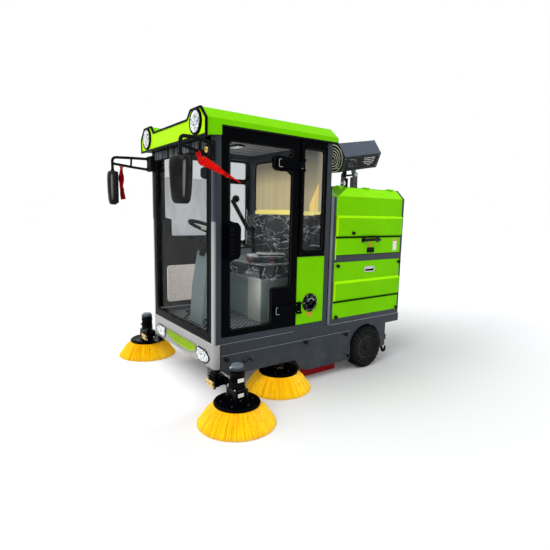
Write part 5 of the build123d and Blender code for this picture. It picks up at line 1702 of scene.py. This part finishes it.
def hand_lever():
    """The tall lever on the control box, with its pivot, boot and rod."""
    x = -346
    pivot, foot, elbow, top = (x, 900, 1218), (x, 852, 1226), (x, 687, 1481), (x, 718, 1505)
    hand = Piece("hand_lever", "chassis", "plastic").block((x - 12, x + 12), (900, 924),
            (470, 1222), 2)
    hand.rod(foot, elbow, 19, 20).rod(elbow, top, 14, 16).rod(foot, pivot, 14, 16)
    for centre, radius in ((pivot, 35), (foot, 19), (elbow, 21), (top, 34)):
        hand.ball(centre, radius, 24)
    hand = hand.make()
    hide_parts("control_lever")
    lever = Piece("lever_details", "chassis", "plastic")
    lever.lathe((x, 908, 1220), LEFT, [(10, -32), (17, -31), (17, -24), (10, -23), (10, 23),
            (17, 24), (17, 31), (10, 32)], 20)
    lever.use("steel").rod((-410, 880, 1042), (-410, 880, 1410), 6, 12, 1)
    lever.use("matt").lathe((x, 912, 1200), UP, [(20, -40), (19, -6), (16, 0)], 18)
    lever.use("matt").block((x - 34, x + 34), (880, 944), (1036, 1060), 8)
    lever.make()


def steering_wheel():
    """Hub cap and the grip's stitches."""
    hub, axis = STEER_HUB, STEER_AXIS
    wheel = Piece("steering_wheel_details", "steering_wheel", "grip")
    wheel.lathe(hub, axis, [(42, 10), (44, 16), (40, 24), (28, 30), (26, 31), (24, 28),
            (0.3, 29)], 36)
    side, up = frame_of(axis)
    for a in turns(40):
        spot = hub + (side * cos(a) + up * sin(a)) * 188 - axis * 8.5
        wheel.use("matt").lathe(spot, axis, [(6, -6.5), (7, -5.2), (6, -3)], 8)
    wheel.make()


# ------------------------------------------------------------------ seat
def puffed(name, x, y, z, cap, seams):
    """A padded block, pressed out by a cloth simulation that leaves its seams where they are.

    No point moves further than cap.
    """
    bm = bmesh.new()
    low, high = place((x[0], y[0], z[0])), place((x[1], y[1], z[1]))
    bmesh.ops.create_cube(bm, size=1.0, matrix=Matrix.Translation((low + high) / 2)
                          @ Matrix.Diagonal((*(high - low), 1)))
    bmesh.ops.bevel(bm, geom=bm.edges[:], offset=0.022, segments=3, affect="EDGES", profile=0.6)
    data = bpy.data.meshes.new(name)
    bm.to_mesh(data)
    bm.free()
    pad = link(name, data)
    remesh = pad.modifiers.new("voxels", "REMESH")
    remesh.mode, remesh.voxel_size = "VOXEL", 0.011
    apply(pad)
    rest = [v.co.copy() for v in pad.data.vertices]
    soft = pad.modifiers.new("air", "CLOTH")
    soft.settings.effector_weights.gravity = 0.0
    soft.settings.use_pressure = True
    soft.settings.uniform_pressure_force = 4.0
    soft.settings.quality = 4
    group = pad.vertex_groups.new(name="held")
    held = [v.index for v in pad.data.vertices if seams(v.co)]
    group.add(held, 1.0, "REPLACE")
    soft.settings.vertex_group_mass = "held"
    for frame_number in range(1, 17):
        bpy.context.scene.frame_set(frame_number)
    shape = pad.evaluated_get(bpy.context.evaluated_depsgraph_get()).data
    moved = [v.co.copy() for v in shape.vertices]
    pad.modifiers.clear()
    for vertex, before, after in zip(pad.data.vertices, rest, moved):
        step = after - before
        if step.length > cap:
            step *= cap / step.length
        vertex.co = before + step
    bpy.context.scene.frame_set(1)
    return pad


def apply(thing):
    """Bakes the modifiers into the mesh."""
    final = thing.evaluated_get(bpy.context.evaluated_depsgraph_get())
    shape = bpy.data.meshes.new_from_object(final)
    thing.modifiers.clear()
    thing.data = shape


def smooth_all(thing):
    """Smooth shading on every face."""
    for face in thing.data.polygons:
        face.use_smooth = True


def cushion_seam(at):
    """Where the cushion is held: round its foot and along the channels on its top."""
    x, z = at.x * 1000, at.z * 1000
    return z < 880 or (z > 948 and any(abs(x - channel) < 5 for channel in (-126, 70, 266)))


def back_seam(at):
    """Where the backrest is held: across its back and along the channels on its front."""
    x, y = at.x * 1000, at.y * 1000 + ORIGIN_Y
    return y > 985 or (y < 946 and any(abs(x - channel) < 5 for channel in (-240, 0, 240)))


def seat_pads():
    """Cushion and backrest, with the piping along their edges."""
    for name, node, x, y, z, cap, seam in (
            ("seat_pad", "seat_cushion", *CUSHION, (868, 958), 0.012, cushion_seam),
            ("backrest_pad", "seat_back", BACKREST[0], (942, 995), BACKREST[1], 0.011, back_seam)):
        pad = puffed(name, x, y, z, cap, seam)
        smooth_all(pad)
        finer = pad.modifiers.new("finer", "SUBSURF")
        finer.levels = finer.render_levels = 1
        apply(pad)
        smooth_all(pad)
        pad.data.materials.append(LOOKS["vinyl"])
        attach(pad, "chassis")
        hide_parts(node)

    piping = Piece("seat_piping", "chassis", "seal")
    for level, grow in ((951, 2), (884, 2)):
        loop = [Vector((px, py, level)) for px, py in offset(rounded(rectangle(*CUSHION), 60,
                6), grow)]
        piping.tube(loop, 3.6, 8, closed=True)
    loop = [Vector((px, 943, pz)) for px, pz in offset(rounded(rectangle(*BACKREST), 34, 5), 1)]
    piping.tube(loop, 3.4, 8, closed=True)
    piping.make()


def package_on_seat():
    """A folded pack of parts in film, lying on the cushion."""
    along, inward = Vector((0.43, 0.90)), Vector((-0.90, 0.43))
    near = Vector((248, 490))
    foot = [near, near + along * 300, near + along * 300 + inward * 220, near + inward * 220]
    pack = Piece("wrapped_package", "chassis", "package")
    pack.prism(rounded([tuple(c) for c in foot], 26, 4), "z", 972, 1036, 9, smooth=True)
    fold = [near + along * 70, near + along * 306, near + along * 306 + inward * 150,
            near + along * 70 + inward * 150]
    pack.prism(rounded([tuple(c) for c in fold], 22, 4), "z", 1034, 1052, 7, smooth=True)
    pack.make(sharp=60)


def seat_film():
    """Packing film over the seat: crinkled sheets, each lifted by its own mix of waves."""
    wrap = Piece("seat_film", "chassis", "film")
    draw = random.Random(12)

    def sheet_rows(count_u, count_v, at):
        waves = [(draw.uniform(4, 22), draw.uniform(4, 22), draw.uniform(0, 6),
                  draw.uniform(0.5, 1.6)) for _ in range(9)]
        rows = []
        for j in range(count_v + 1):
            row = []
            for i in range(count_u + 1):
                u, v = i / count_u, j / count_v
                lift = sum(w * abs(sin(a * u + b * v + c)) for a, b, c, w in waves)
                row.append(at(u, v, lift))
            rows.append(row)
        wrap.patch(rows, smooth=True)

    sheet_rows(90, 40, lambda u, v, h: (-478 + 956 * u, 930 - h * 1.3, 968 + 400 * v))
    sheet_rows(70, 60, lambda u, v, h: (-326 + 792 * u, 458 + 490 * v, 968 + h * 1.5))
    sheet_rows(70, 14, lambda u, v, h: (-328 + 796 * u, 452 - h, 862 + 104 * v))
    sheet_rows(50, 14, lambda u, v, h: (474 + h, 456 + 480 * u, 858 + 108 * v))
    sheet_rows(14, 40, lambda u, v, h: (480 + 58 * u, 932 + 66 * u - h * 0.5, 880 + 488 * v))
    wrap.make(sharp=180, open_shape=True)


# ------------------------------------------------------------------ rear box
def box_lining():
    """Dark lining behind the panel gaps, as painted shade for the box's inside, with the hatches'
    seals.
    """
    inner = Piece("box_lining", "chassis", "matt")
    for side, _ in sides():
        x = lambda v: v * side
        inner.use("matt").prism(rectangle(BOX_Y, HATCH_Z), "x", x(534), x(538), 1)
        inner.use("seal").band(rectangle((1121, 1962), (1041, 1524)), "x", x(538), x(556), out=1,
                inner=10, edge=2)
        inner.use("matt").prism(rectangle(BOX_Y, LOWER_PANEL_Z), "x", x(536), x(540), 1)
    inner.use("matt").prism(rectangle((-532, 532), (1120, 1964)), "z", 1001.5, 1004, 0.5)
    inner.make()


def hatch_details(side, end):
    """Handle, latch, knob, blank stickers, folded edges and creases of a hatch, with painted light
    on the edges and creases and a painted shade line under the step.
    """
    x = lambda v: (SIDE_X + v) * side
    fit = Piece("hatch_details_" + end, "hatch_" + end, "plastic")
    grip = bend([(x(6), 1462, 1165), (x(34), 1474, 1166), (x(38), 1552, 1170), (x(34), 1630, 1166),
                 (x(6), 1642, 1165)], 14)
    fit.tube(grip, 13, 12)
    for y in (1458, 1646):
        fit.lathe((x(0), y, 1165), LEFT * side, [(24, -1), (24, 5), (20, 9), (14, 10)], 24)
        fit.use("steel").screw((x(9), y, 1165 - 15), LEFT * side, 3.4).use("plastic")
    fit.use("matt").prism(rounded(rectangle((1508, 1596), (1052, 1098)), 8, 3), "x", x(-0.5),
            x(6), 1.5)
    fit.prism(rounded(rectangle((1520, 1584), (1060, 1090)), 5, 3), "x", x(5), x(14.5), 2)
    fit.use("orange").prism(rounded([(1530, 1106), (1574, 1106), (1574, 1122), (1560, 1140),
            (1544, 1140), (1530, 1122)], 3, 2), "x", x(-0.3), x(0.9), 0.2)
    fit.use("sticker").prism(rounded(rectangle((1858, 1912), (1062, 1166)), 4, 2), "x", x(-0.3),
            x(0.9), 0.2)
    fit.use("orange").prism(rounded(rectangle((1860, 1910), (1148, 1165)), 3, 2), "x", x(0.7),
            x(1.3), 0.1)
    fit.use("plastic").lathe((x(14), 1313, 1226), LEFT * side, [(15, -1), (15, 5), (12, 8),
            (12, 18), (9, 21), (0.3, 21)], 20)
    # painted shade: a dark line under the pressed step
    fit.use("green_dark").prism(rectangle((1125, 1958), (1182, 1200)), "x", x(-3), x(2.2), 0.8)
    # painted light: the front edges in the lit fascia green
    fit.use("fascia").prism(rectangle((1122, 1136), (1202, 1366)), "x", x(0), x(16), 0.6)
    fit.prism(rectangle((1122, 1133), (1006, 1186)), "x", x(0), x(1.6), 0.3)
    # painted light: the crease's upward slope
    fit.use("crease")
    rows = [[(x(v), 1124, z), (x(v), 1960, z)] for v, z in ((0.5, 1373), (4.5, 1369.5),
            (14.8, 1359.5), (15, 1352))]
    fit.patch(rows)
    # painted highlight: a thin lit strip along the front edge
    fit.use("lime").patch([[(x(0.8), y, 1199), (x(0.8), y, 1520)] for y in (1123.5, 1129)])
    fit.make()


def lower_panel_details(side, end):
    """Flush handle, folded edges and creases of the panel under a hatch, with painted light on the
    edges and creases and a painted shade line under the step.
    """
    x = lambda v: (SIDE_X + v) * side
    low = Piece("lower_panel_details_" + end, "chassis", "steel")
    cup = rounded(rectangle((1488, 1614), (882, 928)), 9, 3)
    low.band(cup, "x", x(-2), x(5.5), out=3, inner=8, edge=1.5)
    low.use("matt").prism(offset(cup, -8), "x", x(-14), x(-12.5), 0.3)
    low.use("steel").prism(rounded(rectangle((1500, 1602), (906, 922)), 5, 2), "x", x(-2),
            x(2.2), 1)
    # painted shade: a dark line under the pressed step
    low.use("green_dark").prism(rectangle((1121, 1962), (634, 652)), "x", x(-3), x(2.2), 0.8)
    # painted light: the front edge in the lit fascia green
    low.use("fascia").prism(rectangle((1118, 1130), (656, 812)), "x", x(0), x(16), 0.6)
    # painted light: the crease's upward slope
    low.use("crease")
    low.patch([[(x(v), 1120, z), (x(v), 1963, z)] for v, z in ((0.5, 821), (4.5, 817.5),
            (14.8, 807.5), (15, 800))])
    low.make()


def box_posts():
    """Seams and edge strips of the posts between the cab and the box; the light strips are painted
    highlights.
    """
    posts = Piece("box_post_edges", "chassis", "painted_edge_highlight")
    for side, _ in sides():
        # painted highlight: a light line down each post's edge
        posts.tube([((SIDE_X - 4.5) * side, 1067.5, 462), ((SIDE_X - 4.5) * side, 1067.5, 1520)],
                   1.6, 8)
        posts.use("seal").prism(rectangle((548 * side, 577 * side), (1031, 1062)), "z",
                458, 1600, 1)
        posts.use("slate").prism(rounded(rectangle((540 * side, (SIDE_X + 1) * side), (1001, 1052)),
                4, 2), "z", 456, 1932, 2)
        # painted highlight: a light strip along the post's front edge
        posts.use("post_edge").prism(rectangle((1066, 1089), (458, 1516)), "x",
                                     (SIDE_X - 0.5) * side, (SIDE_X + 1.5) * side, 0.5)
        posts.use("painted_edge_highlight")
    posts.make()


def gate_details():
    """Ribs, hinges, latches, grip and reflectors of the hopper's gate, with a painted shade line
    round the ribs.
    """
    back = Piece("gate_details", "rear_gate", "green")
    for z in (620, 710, 800):
        back.prism(rounded(rectangle((-400, 400), (z - 16, z + 16)), 14, 4), "y", 2017, 2024, 3)
    # painted shade: a dark line round the ribbed field
    back.use("green_dark").band(rounded(rectangle((-430, 430), (560, 860)), 30, 5), "y", 2009,
            2011.5, out=6, inner=-1, edge=1)
    for x in (-480, 480):
        back.use("plastic").block((x - 24, x + 24), (2009, 2030), (500, 560), 5)
        back.use("steel").bolt((x, 2030, 545), BACK, 7)
        back.use("steel").block((x - 10, x + 10), (2029, 2042), (506, 530), 3)
        back.use("red_lens").prism(rounded(rectangle((x - 40, x + 40), (600, 640)), 10, 3), "y",
                2009, 2016, 2)
    for x in (-90, 90):
        back.use("steel").lathe((x, 2009, 520), BACK, [(20, 0), (20, 4), (15, 7), (10, 8)], 24)
    back.use("matt").tube([(-70, 2052, 520), (70, 2052, 520)], 11.5, 14)
    for x in (-360, 0, 360):
        for dx in (-18, 18):
            back.use("steel").bolt((x + dx, 2010, 930), BACK, 6.5)
    back.make()


def rear_panel_details():
    """Louvre, tail lamps, bolts and tow hook of the back panel."""
    panel = Piece("rear_panel_details", "chassis", "green")
    for k in range(7):
        z = 1150 + 32 * k
        panel.use("green").prism([(1984, z), (1994, z - 12), (1996, z - 12), (1986, z + 4)],
                "x", -300, 300, 0.4)
    panel.use("green").band(rounded(rectangle((-330, 330), (1118, 1372)), 14, 4), "y", 1985, 1990,
            out=8, inner=4, edge=1.5)
    panel.use("matt").prism(rectangle((-318, 318), (1124, 1366)), "y", 1983.5, 1986.4)
    for x in (-505, 505):
        for z in (1060, 1480):
            panel.use("steel").bolt((x, 1986.5, z), BACK, 6.5)
    for side, _ in sides():
        span = (505 * side, 560 * side)
        panel.use("matt").band(rounded(rectangle(span, (1060, 1200)), 6, 3), "y", 1988, 2010, out=4,
                inner=3, edge=1.5)
        for z0, z1, look in ((1064, 1096, "chrome"), (1098, 1140, "amber"),
                (1142, 1196, "red_lens")):
            panel.use(look).prism(rounded(rectangle((509 * side, 556 * side), (z0, z1)), 5, 3), "y",
                    2007, 2013, 2)
            for k in range(4):
                zz = z0 + (z1 - z0) * (k + 0.7) / 4.4
                panel.prism(rectangle((512 * side, 553 * side), (zz - 1.6, zz + 1.6)), "y", 2012,
                            2014.2, 0.6)
    panel.use("slate").prism(rectangle((-SIDE_X + 2, SIDE_X - 2), (377, 454)), "y", 1984, 1998, 2)
    for x in (-420, -140, 140, 420):
        panel.use("steel").bolt((x, 1998, 415), BACK, 8)
    panel.use("plastic").tube(bend([(336, 2016, 300), (336, 2022, 262), (336, 2000, 240),
            (336, 1980, 252)], 16), 8, 10)
    panel.make()


# ------------------------------------------------------------------ roller, battery and underside
def roller_tufts():
    """The main roller: a drum with twelve slightly twisted rows of tufts."""
    draw = random.Random(21)
    y, z = 1080, 165
    roller = Piece("roller_tufts", "roller_brush", "bristle_deep")
    roller.use("matt").lathe((-400, y, z), LEFT, [(16, 0), (120, 0), (122, 3), (122, 797),
            (120, 800), (16, 800)], 40)
    for row in range(12):
        for k in range(66):
            x = -392 + k * 12
            a = 2 * pi * row / 12 + k * 0.035
            for _ in range(3):
                t = a + draw.gauss(0, 0.02)
                xx = x + draw.uniform(-5, 5)
                tip = min(157.5, 155 + draw.gauss(0, 1.5))
                lean = draw.gauss(0.03, 0.02)
                roller.use("bristle" if draw.random() < 0.25 else "bristle_deep")
                fibre(roller, [Vector((xx, y + r * cos(u), z + r * sin(u))) for r, u in
                               ((118, t), (138, t + lean / 2), (tip, t + lean))], 2.2)
    roller = roller.make(sharp=180)
    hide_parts("roller_brush")


def underside_details():
    """Pipes along the beams, brackets, bolts and the rubber flaps round the roller."""
    under = Piece("underside_details", "chassis", "matt")
    for side, _ in sides():
        x = lambda v: v * side
        under.use("matt").tube(bend([(x(372), 120, 425), (x(372), 700, 425), (x(380), 760, 410),
                (x(380), 1300, 410), (x(360), 1880, 425)], 60), 7, 10)
        under.use("steel")
        for yy in (160, 900, 1400, 1850):
            under.block((x(345), x(384)), (yy - 8, yy + 8), (414, 436), 2)
        for yy in (900, 960, 1020, 1080, 1140, 1200, 1250):
            under.use("steel").bolt((x(478), yy, 138), LEFT * side, 6)
        under.use("steel").rod((x(497), 1545, 192), (x(486), 1545, 192), 28, 24, 2)
        for k in range(4):
            under.use("plastic").tube([(x(290), 1420 + 60 * k, 395), (x(340), 1420 + 60 * k, 395)],
                    4, 8)
        for k in range(6):
            under.use("red_rubber").prism(rounded(rectangle((884 + 64 * k, 884 + 64 * k + 61),
                    (7.5, 128)), 3, 2), "x", x(477.6), x(480.2), 0.6)
    for yy in (905, 1255):
        under.use("red_rubber").prism(rounded(rectangle((-412, 412), (14, 110)), 4, 2), "y", yy - 2,
                yy + 2, 0.8)
        under.use("steel").prism(rectangle((-412, 412), (100, 116)), "y", yy - 4, yy + 4, 0.8)
    under.make()


def battery_details():
    """Lids, terminals and leads of the four batteries."""
    battery = Piece("battery_details", "chassis", "battery")
    for x in (-360, -120, 120, 360):
        battery.use("battery").block((x - 112, x + 112), (1130, 1315), (955, 967), 4)
        for s in (-1, 1):
            battery.use("brass").lathe((x + 80 * s, 1222, 966), UP, [(9, 0), (9, 12), (7, 14),
                    (0.3, 14)], 14)
        battery.use("plastic").tube(bend([(x - 80, 1222, 974), (x - 80, 1190, 980), (x, 1180, 980),
                (x + 80, 1190, 980), (x + 80, 1222, 974)], 20), 5, 8)
    battery.make()


def front_wheel_well():
    """Plate that closes the cab's floor above the front wheel."""
    Piece("front_wheel_well", "chassis", "matt").prism(rectangle((-300, 300), (90, 785)), "z", 456,
            460, 1).make()


# ------------------------------------------------------------------ mist cannon
def tilted(piece):
    """A piece drawn level, turned with the cannon about its pin."""
    return piece.turned(CANNON_TILT, "X", (0, *CANNON_PIVOT))


def hexagon(radius):
    """The cannon's outline, with corners at both sides."""
    return [(radius * cos(radians(60 * k)), CANNON_Z + radius * sin(radians(60 * k)))
            for k in range(6)]


def cannon_fittings():
    """Rims, screws, intake rings, nozzles, motor and pin heads of the mist cannon."""
    y0, y1 = CANNON_ENDS
    shell = Piece("cannon_fittings", "mist_cannon", "cannon")
    shell.use("cannon_dark").band(hexagon(155.5), "y", y0 + 10, y0 - 3, out=1.5, inner=9, edge=1.2)
    shell.use("cannon").band(hexagon(155.5), "y", y1 - 14, y1 - 0.5, out=1.2, inner=8, edge=1.2)
    for k in range(6):
        a = radians(60 * k + 30)
        for yy in (y0 + 24, 1899, y1 - 26):
            for s in (-52, 52):
                out = Vector((cos(a), 0, sin(a)))
                along = Vector((-sin(a), 0, cos(a)))
                spot = Vector((0, yy, CANNON_Z)) + out * (CANNON_FLAT + 0.3) + along * s
                if yy != 1899 or a < pi:
                    shell.use("steel").screw(spot, out, 4)
    for k in range(8):
        a = radians(45 * k + 22.5)
        shell.use("steel").screw((122 * cos(a), y0 - 0.5, CANNON_Z + 122 * sin(a)), -BACK, 4.2)
    for r in (20.5, 45.5, 70.5, 95.5, 125):
        ring = [Vector(((r + 3.5) * cos(a), y0 - 6.2, CANNON_Z + (r + 3.5) * sin(a)))
                for a in turns(56)]
        shell.use("beige").tube(ring, 2.6, 8, closed=True)
    shell.use("matt").lathe((0, y0 - 4, CANNON_Z), -BACK, [(19, -2), (19, 4), (15, 7),
            (0.3, 7.5)], 28)
    for turn in range(0, 360, 30):
        a = radians(turn)
        spot = (112 * cos(a), 2143, CANNON_Z - 112 * sin(a))
        shell.use("brass").lathe(spot, BACK, [(6.4, -1), (6.4, 4), (4.6, 5.5), (4.6, 10),
                (2.4, 12.5), (0.3, 12.5)], 6, False)
    # motor behind the fan, with its mounting ring
    shell.use("matt").lathe((0, 1726, CANNON_Z), BACK, [(24, 0), (44, 4), (46, 12), (46, 96),
            (40, 108), (12, 112), (0.3, 112)], 36)
    for k in range(18):
        a = 2 * pi * k / 18
        shell.block((45.5 * cos(a) - 1.5, 45.5 * cos(a) + 1.5), (1744, 1820),
                    (CANNON_Z + 45.5 * sin(a) - 1.5, CANNON_Z + 45.5 * sin(a) + 1.5), 0.6)
    for s in (-1, 1):
        shell.use("steel").lathe((70 * s, CANNON_PIVOT[0], CANNON_PIVOT[1]), LEFT * s,
                [(17, -1), (17, 2), (15, 3.5)], 20)
    tilted(shell).make()


def spray_ring():
    """The ring of nozzles in the mouth, on three stays."""
    ring = Piece("spray_ring", "mist_cannon", "matt")
    around = lambda r, y, turn: Vector((r * cos(turn), y, CANNON_Z - r * sin(turn)))
    circle = [(119 * cos(a), CANNON_Z + 119 * sin(a)) for a in turns(60)]
    ring.band(circle, "y", 2126, 2138, out=0, inner=14, edge=1.5)
    for k in range(12):
        a = radians(30 * k)
        ring.rod(around(112, 2137, a), around(112, 2144, a), 6.5, 6, 0.6, False)
        ring.rod(around(112, 2142, a), around(112, 2150, a), 4, 12, 0.6)
    for turn in (30, 150, 270):
        a = radians(turn)
        ring.use("lug").rod(around(115, 2132, a), around(CANNON_FLAT - 3, 2132, a), 6, 12, 0.6)
    tilted(ring).make()


def vent_rims():
    """Frames round the perforated sheets in the two lower sides."""
    for side, end in sides():
        vent = Piece("vent_rims_" + end, "mist_cannon", "cannon_dark")
        out = Vector((cos(radians(-30)) * side, 0, sin(radians(-30))))
        along = Vector((sin(radians(30)) * side, 0, cos(radians(30))))
        centre = Vector((0, 1905, CANNON_Z)) + out * (CANNON_FLAT - 0.2)
        rows = []
        for grow, level in ((1.5, -1), (1.5, 1.2), (-3.5, 1.2), (-4.5, -1)):
            rows.append([centre + out * level + along * v + BACK * u for u, v in
                         offset(rounded(rectangle((-215, 215), (-59, 59)), 6, 2), grow)])
        vent.skin(rows, along=True)
        tilted(vent).make()


def mast_fittings():
    """Gussets, pin nuts, bolts and the feed hose of the cannon's mast."""
    mast = Piece("mast_fittings", "chassis", "mast")
    y, z = CANNON_PIVOT
    for side, _ in sides():
        x = lambda v: v * side
        mast.use("mast").band(rounded([(y - 33, 1618), (y + 33, 1618), (y + 29, z + 23),
                (y - 29, z + 23)], 8, 3), "x", x(84), x(86.5), out=0, inner=6, edge=0.8)
        mast.use("steel").lathe((x(84), y, z), LEFT * side, [(18, 0), (18, 4), (15, 6)], 22)
        mast.lathe((x(90), y, z), LEFT * side, [(14, -4), (14, 7), (10, 10), (0.3, 10)], 6, False)
        for dy in (-33, 30):
            mast.use("mast").prism(rectangle((y + dy, y + dy + 3), (1621, z - 24)), "x", x(46),
                    x(75), 0.6)
        for zz in (1648, 1690):
            mast.use("dark_bolt").bolt((x(84.5), y, zz), LEFT * side, 8)
        for s in (-1, 1):
            mast.use("mast").prism([(y + 60 * s, 1621), (y + 32 * s, 1621), (y + 32 * s, 1668)],
                    "x", x(76), x(82), 0.8)
        for dy in (-56, 56):
            mast.use("steel").bolt((x(112), y + dy, 1622), UP, 8)
    mast.use("steel").lathe((-74, y - 8, 1700), LEFT, [(26, -2), (26, 16), (20, 18)], 24)
    mast.use("matt").tube(bend([(60, y - 20, 1622), (50, y - 20, 1660), (30, y + 10, 1700),
            (10, y + 30, 1740)], 30), 6, 10)
    mast.make()


# ------------------------------------------------------------------ floor, light and camera
def ground():
    """A pale studio floor that darkens softly where the photograph's shadow lies."""
    floor = bpy.data.meshes.new("floor")
    reach = 60
    floor.from_pydata([(-reach, -reach, 0), (reach, -reach, 0), (reach, reach, 0),
                       (-reach, reach, 0)], [], [(0, 1, 2, 3)])
    look = Look("studio_floor")
    # painted shadow: the ground darkens softly behind the left rear wheel; painted light lifts it
    # up to the bumper in front
    across, along = look.axis("X"), look.axis("Y")
    beside = look.math("DIVIDE", look.math("MAXIMUM", look.math("SUBTRACT", across, 0.3), 0.0), 0.8)
    near = look.math("EXPONENT", look.product(beside, beside, -1.0))
    behind = look.product(look.ramp(along, -0.5, 0.9), look.ramp(along, 1.4, 4.8, (1.0, 0.0)))
    painted_floor_shadow = look.product(look.product(near, behind), look.ramp(across, -1.1, 0.1))
    tone = look.mix(painted_floor_shadow, (0.90, 0.90, 0.905, 1), (0.66, 0.66, 0.665, 1))
    matt = look.add("BsdfDiffuse", {"Color": tone})
    ahead = look.product(look.ramp(along, -0.72, -1.02), look.ramp(across, 0.62, 0.30))
    strength = look.math("MULTIPLY_ADD", ahead, 0.30, look.math("MULTIPLY_ADD", painted_floor_shadow, -0.05, 0.07))
    glow = look.add("Emission", {"Color": (1, 1, 1, 1), "Strength": strength})
    path = look.tree.nodes.new("ShaderNodeLightPath")
    seen = look.math("MAXIMUM", look.math("MAXIMUM", path.outputs["Is Camera Ray"],
            path.outputs["Is Glossy Ray"]), path.outputs["Is Transmission Ray"])
    dark = look.add("Emission", {"Color": (0, 0, 0, 1), "Strength": 0.0})
    lift = look.add("MixShader", {0: seen, 1: dark, 2: glow})
    floor.materials.append(look.show(look.add("AddShader", {0: matt, 1: lift})))
    ground = link("floor", floor)


def surroundings():
    """An even white sky, a little dimmer as a light than as a backdrop."""
    world = bpy.data.worlds.new("studio")
    bpy.context.scene.world = world
    world.use_nodes = True
    tree = world.node_tree
    tree.nodes.clear()
    path = tree.nodes.new("ShaderNodeLightPath")
    highest = path.outputs["Is Camera Ray"]
    for name in ("Is Glossy Ray", "Is Transmission Ray"):
        most = tree.nodes.new("ShaderNodeMath")
        most.operation = "MAXIMUM"
        tree.links.new(highest, most.inputs[0])
        tree.links.new(path.outputs[name], most.inputs[1])
        highest = most.outputs[0]
    backs = []
    for colour, strength in (((0.97, 0.98, 1.0, 1), 0.80), ((1, 1, 1, 1), 1.0)):
        back = tree.nodes.new("ShaderNodeBackground")
        back.inputs["Color"].default_value, back.inputs["Strength"].default_value = colour, strength
        backs.append(back)
    mix = tree.nodes.new("ShaderNodeMixShader")
    tree.links.new(highest, mix.inputs[0])
    tree.links.new(backs[0].outputs[0], mix.inputs[1])
    tree.links.new(backs[1].outputs[0], mix.inputs[2])
    out = tree.nodes.new("ShaderNodeOutputWorld")
    tree.links.new(mix.outputs[0], out.inputs["Surface"])


def lamps():
    """Two soft suns, and two small lamps that lift the cab's inside."""
    for name, energy, towards, soft in (("key", 0.90, (0.35, -0.80, 0.80), 24),
            ("fill", 0.65, (-0.55, -0.75, 0.90), 40)):
        lamp = bpy.data.lights.new(name, "SUN")
        lamp.energy, lamp.angle = energy, radians(soft)
        link(name, lamp).rotation_euler = Vector(towards).to_track_quat("Z", "Y").to_euler()
    for name, energy, at in (("cab_lamp", 6, (120, 420, 1400)), ("cab_floor_lamp", 3,
            (330, 470, 800))):
        lamp = bpy.data.lights.new(name, "POINT")
        lamp.energy, lamp.shadow_soft_size = energy, 0.2
        glow = link(name, lamp)
        glow.location = place(at)
        glow.visible_camera = glow.visible_glossy = False


def camera():
    """The photograph's viewing angle: direction back to the camera, roll about it, place."""
    azimuth, height, roll = (radians(a) for a in (53.7188, 8.1641, 1.2023))
    back = Vector((sin(azimuth) * cos(height), -cos(azimuth) * cos(height), sin(height)))
    right = (-back).cross(UP).normalized()
    up = right.cross(-back)
    across = right * cos(roll) + up * sin(roll)
    upright = up * cos(roll) - right * sin(roll)
    data = bpy.data.cameras.new("camera")
    data.sensor_width, data.lens = 36.0, 427.704 / 550 * 36.0
    data.clip_start, data.clip_end = 0.05, 300
    eye = link("camera", data)
    turn = Matrix((across, upright, back)).transposed().to_4x4()
    eye.matrix_world = Matrix.Translation((3.1388, -2.2795, 1.3762)) @ turn
    bpy.context.scene.camera = eye


# ------------------------------------------------------------------ everything, in order
dress_nodes()
roof_trim()
roof_lamps()
headlamps()
grille_trim()
for side, end in sides():
    side_brush("front_brush_" + end, "front_brush_" + end, (FRONT_BRUSH[0] * side, FRONT_BRUSH[1]),
               3 + side)
    side_brush("mid_brush_" + end, "mid_brush_" + end, (MID_BRUSH[0] * side, MID_BRUSH[1]),
               7 + side)
    brush_motor("front_motor_" + end, "brush_arm_" + end, (FRONT_BRUSH[0] * side, FRONT_BRUSH[1]),
                398, 51, True)
    brush_motor("mid_motor_" + end, "chassis", (MID_BRUSH[0] * side, MID_BRUSH[1]), 392, 33, False)
    brush_arm(side, end)
    wheel = (REAR_WHEEL[0] * side, REAR_WHEEL[1], REAR_WHEEL[2])
    tyre("rear_tread_" + end, "rear_tyre_" + end, "rear_wheel_" + end, wheel)
    wheel_fittings("rear_wheel_fittings_" + end, "rear_wheel_" + end, wheel, side)
tyre("front_tread", "front_tyre", "front_wheel", FRONT_WHEEL)
wheel_fittings("front_wheel_fittings", "front_wheel", FRONT_WHEEL, 1)
wheel_arches()
for part in (screen_louvre, windshield_trim, pillar_seams, mirror_arms, mirror_fittings, ribbons,
             door_trim, quarter_trim, panel_trim, cap_details, skirt_details, headliner, floor_mat,
             console, seat_box, window_films, door_lining, hand_lever, steering_wheel, seat_pads,
             package_on_seat, seat_film, box_lining):
    part()
for side, end in sides():
    hatch_details(side, end)
    lower_panel_details(side, end)
for part in (box_posts, gate_details, rear_panel_details, roller_tufts, underside_details,
             battery_details, front_wheel_well, cannon_fittings, spray_ring, vent_rims,
             mast_fittings, ground, surroundings, lamps, camera):
    part()
bpy.context.scene.view_settings.view_transform = "Standard"
